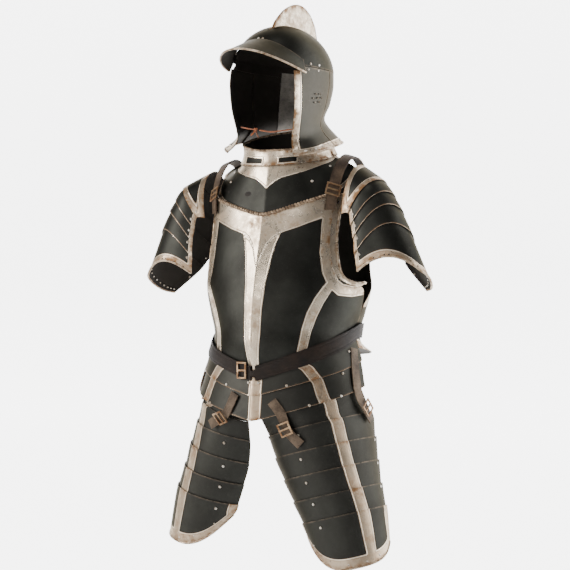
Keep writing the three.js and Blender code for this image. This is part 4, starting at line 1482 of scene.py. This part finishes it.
def ribbon(rows, width):
    """A strip through a few points, as wide as `width` across the direction given at each."""
    table = {
        "v": list(range(len(rows))),
        "at": [row[0] for row in rows],
        "across": [row[1] for row in rows],
    }

    def surface(u, v):
        way = curve(table, "v", "across", v)
        way = way / np.linalg.norm(way, axis=-1, keepdims=True)
        return curve(table, "v", "at", v) + way * (np.asarray(u) * width / 2)[..., None]

    return surface


def hanging_route(name, place):
    """A tasset strap's points and directions across it, from the fauld down to the tasset."""
    upper, lower = TASSET_STRAPS[f"{name}_{place}"]
    spots = [(*spot(fauld, *at, -1), FAULD_LIFT) for at in upper]
    spots += [(*spot(tasset(HANG[name]), *at, -1), TASSET_LIFT) for at in lower]
    route = [p + n * lift for p, n, lift in spots]
    rows = []
    for i, (p, n, lift) in enumerate(spots):
        along = route[min(i + 1, len(spots) - 1)] - route[max(i - 1, 0)]
        way = np.cross(along, n)
        rows.append((route[i], way / np.linalg.norm(way)))
    return rows


strap_across = across * 2 - 1
for name, side in SIDES:
    strap = mirrored(ribbon(SHOULDER_STRAP, SHOULDER_STRAP_WIDTH), side)
    band_of_leather(f"shoulder_strap_{name}", grooved(strap, side, -1, 1), strap_across,
                    np.linspace(0, 7, 70), 0.2, STRAP_LEATHER, strap_leather, facing=side)
    for place in ("inner", "outer"):
        strap = mirrored(ribbon(hanging_route(name, place), TASSET_STRAP_WIDTH), side)
        band_of_leather(f"tasset_strap_{name}_{place}", grooved(strap, side, -1, 1),
                        strap_across, np.linspace(0, 3, 40), 0.0, STRAP_LEATHER, worn_leather,
                        facing=side)
print("all pieces:", sum(made_triangles.values()), "triangles")

# %% [markdown]
# ## Floor and backdrop
# The armour is shown in front of nothing: plain pale surroundings all round. A pale floor lies
# under and before it, and a sheet far behind curves up from the floor without a corner and glows,
# so that it stays pale however the lamps are set. Neither is part of the armour.

# %% Floor and glowing sweep
FLOOR_LEVEL, FLOOR_WIDTH = -1.2, 80  # metres
FLOOR_PROFILE = [(-20, FLOOR_LEVEL), (0.6, FLOOR_LEVEL)]
SWEEP_PROFILE = [(0.6, FLOOR_LEVEL), (9, FLOOR_LEVEL), (12, -0.9), (14.4, 0.1), (15.6, 1.8),
                 (16, 4), (16, 26)]
SWEEP_GLOW = 4.5


def backdrop(name, profile, glow):
    """A pale sheet across the studio along a profile of (y, z) points, in metres."""
    corners = [(side * FLOOR_WIDTH / 2, y, z) for side in (-1, 1) for y, z in profile]
    count = len(profile)
    faces = [(i, i + 1, i + 1 + count, i + count) for i in range(count - 1)]
    mesh = bpy.data.meshes.new(name)
    mesh.from_pydata(corners, [], faces)
    mesh.shade_smooth()
    pale = Finish(name + "_paint")
    pale.feed(Base_Color=(0.8, 0.8, 0.8, 1), Roughness=0.9, Emission_Color=(1, 1, 1, 1),
              Emission_Strength=glow)
    mesh.materials.append(pale.material)
    sheet = bpy.data.objects.new(name, mesh)
    scene.collection.objects.link(sheet)


backdrop("floor", FLOOR_PROFILE, 0)
backdrop("glowing_sweep", SWEEP_PROFILE, SWEEP_GLOW)
print("floor at", FLOOR_LEVEL, "m, sweep behind it")

# %% [markdown]
# ## Light
# Polished steel looks like what it reflects. The world gives a little warm light from all sides,
# and four soft lamps do the rest: a tall key lamp on the wearer's right, a low one in front, one
# from above for the comb and the shoulders, and a tall narrow one on the other side, which draws
# the long highlights down the legs.

# %% World and lamps
WORLD_COLOUR, WORLD_LIGHT = (1.0, 0.97, 0.93, 1), 0.14
LAMP_COLOUR = (1.0, 0.955, 0.90)
LAMPS = {  # place and target in metres, width and height in metres, power in watts
    "key": ((-2.8, -2.4, 0.9), (0, 0, -0.3), (1.4, 3.0), 200),
    "front": ((-0.2, -3.8, 0.2), (0, 0, -0.4), (0.6, 2.2), 30),
    "top": ((0.2, -1.4, 3.0), (0, 0, -0.2), (1.2, 1.2), 30),
    "right": ((2.9, 0.3, 0.4), (0, 0, -0.3), (0.6, 2.8), 44),
}

world = bpy.data.worlds.new("studio")
world.use_nodes = True
world.node_tree.nodes["Background"].inputs[0].default_value = WORLD_COLOUR
world.node_tree.nodes["Background"].inputs[1].default_value = WORLD_LIGHT
scene.world = world


def lamp(name, place, target, size, power):
    light = bpy.data.lights.new(name, "AREA")
    light.shape = "RECTANGLE"
    light.size, light.size_y = size
    light.energy = power
    light.color = LAMP_COLOUR
    holder = bpy.data.objects.new(name, light)
    scene.collection.objects.link(holder)
    holder.location = place
    away = np.array(place) - np.array(target)
    flat = math.hypot(away[0], away[1])
    holder.rotation_euler = (math.atan2(flat, away[2]), 0, math.atan2(away[0], -away[1]))


for name, settings in LAMPS.items():
    lamp(name, *settings)
print("lamps:", ", ".join(LAMPS))
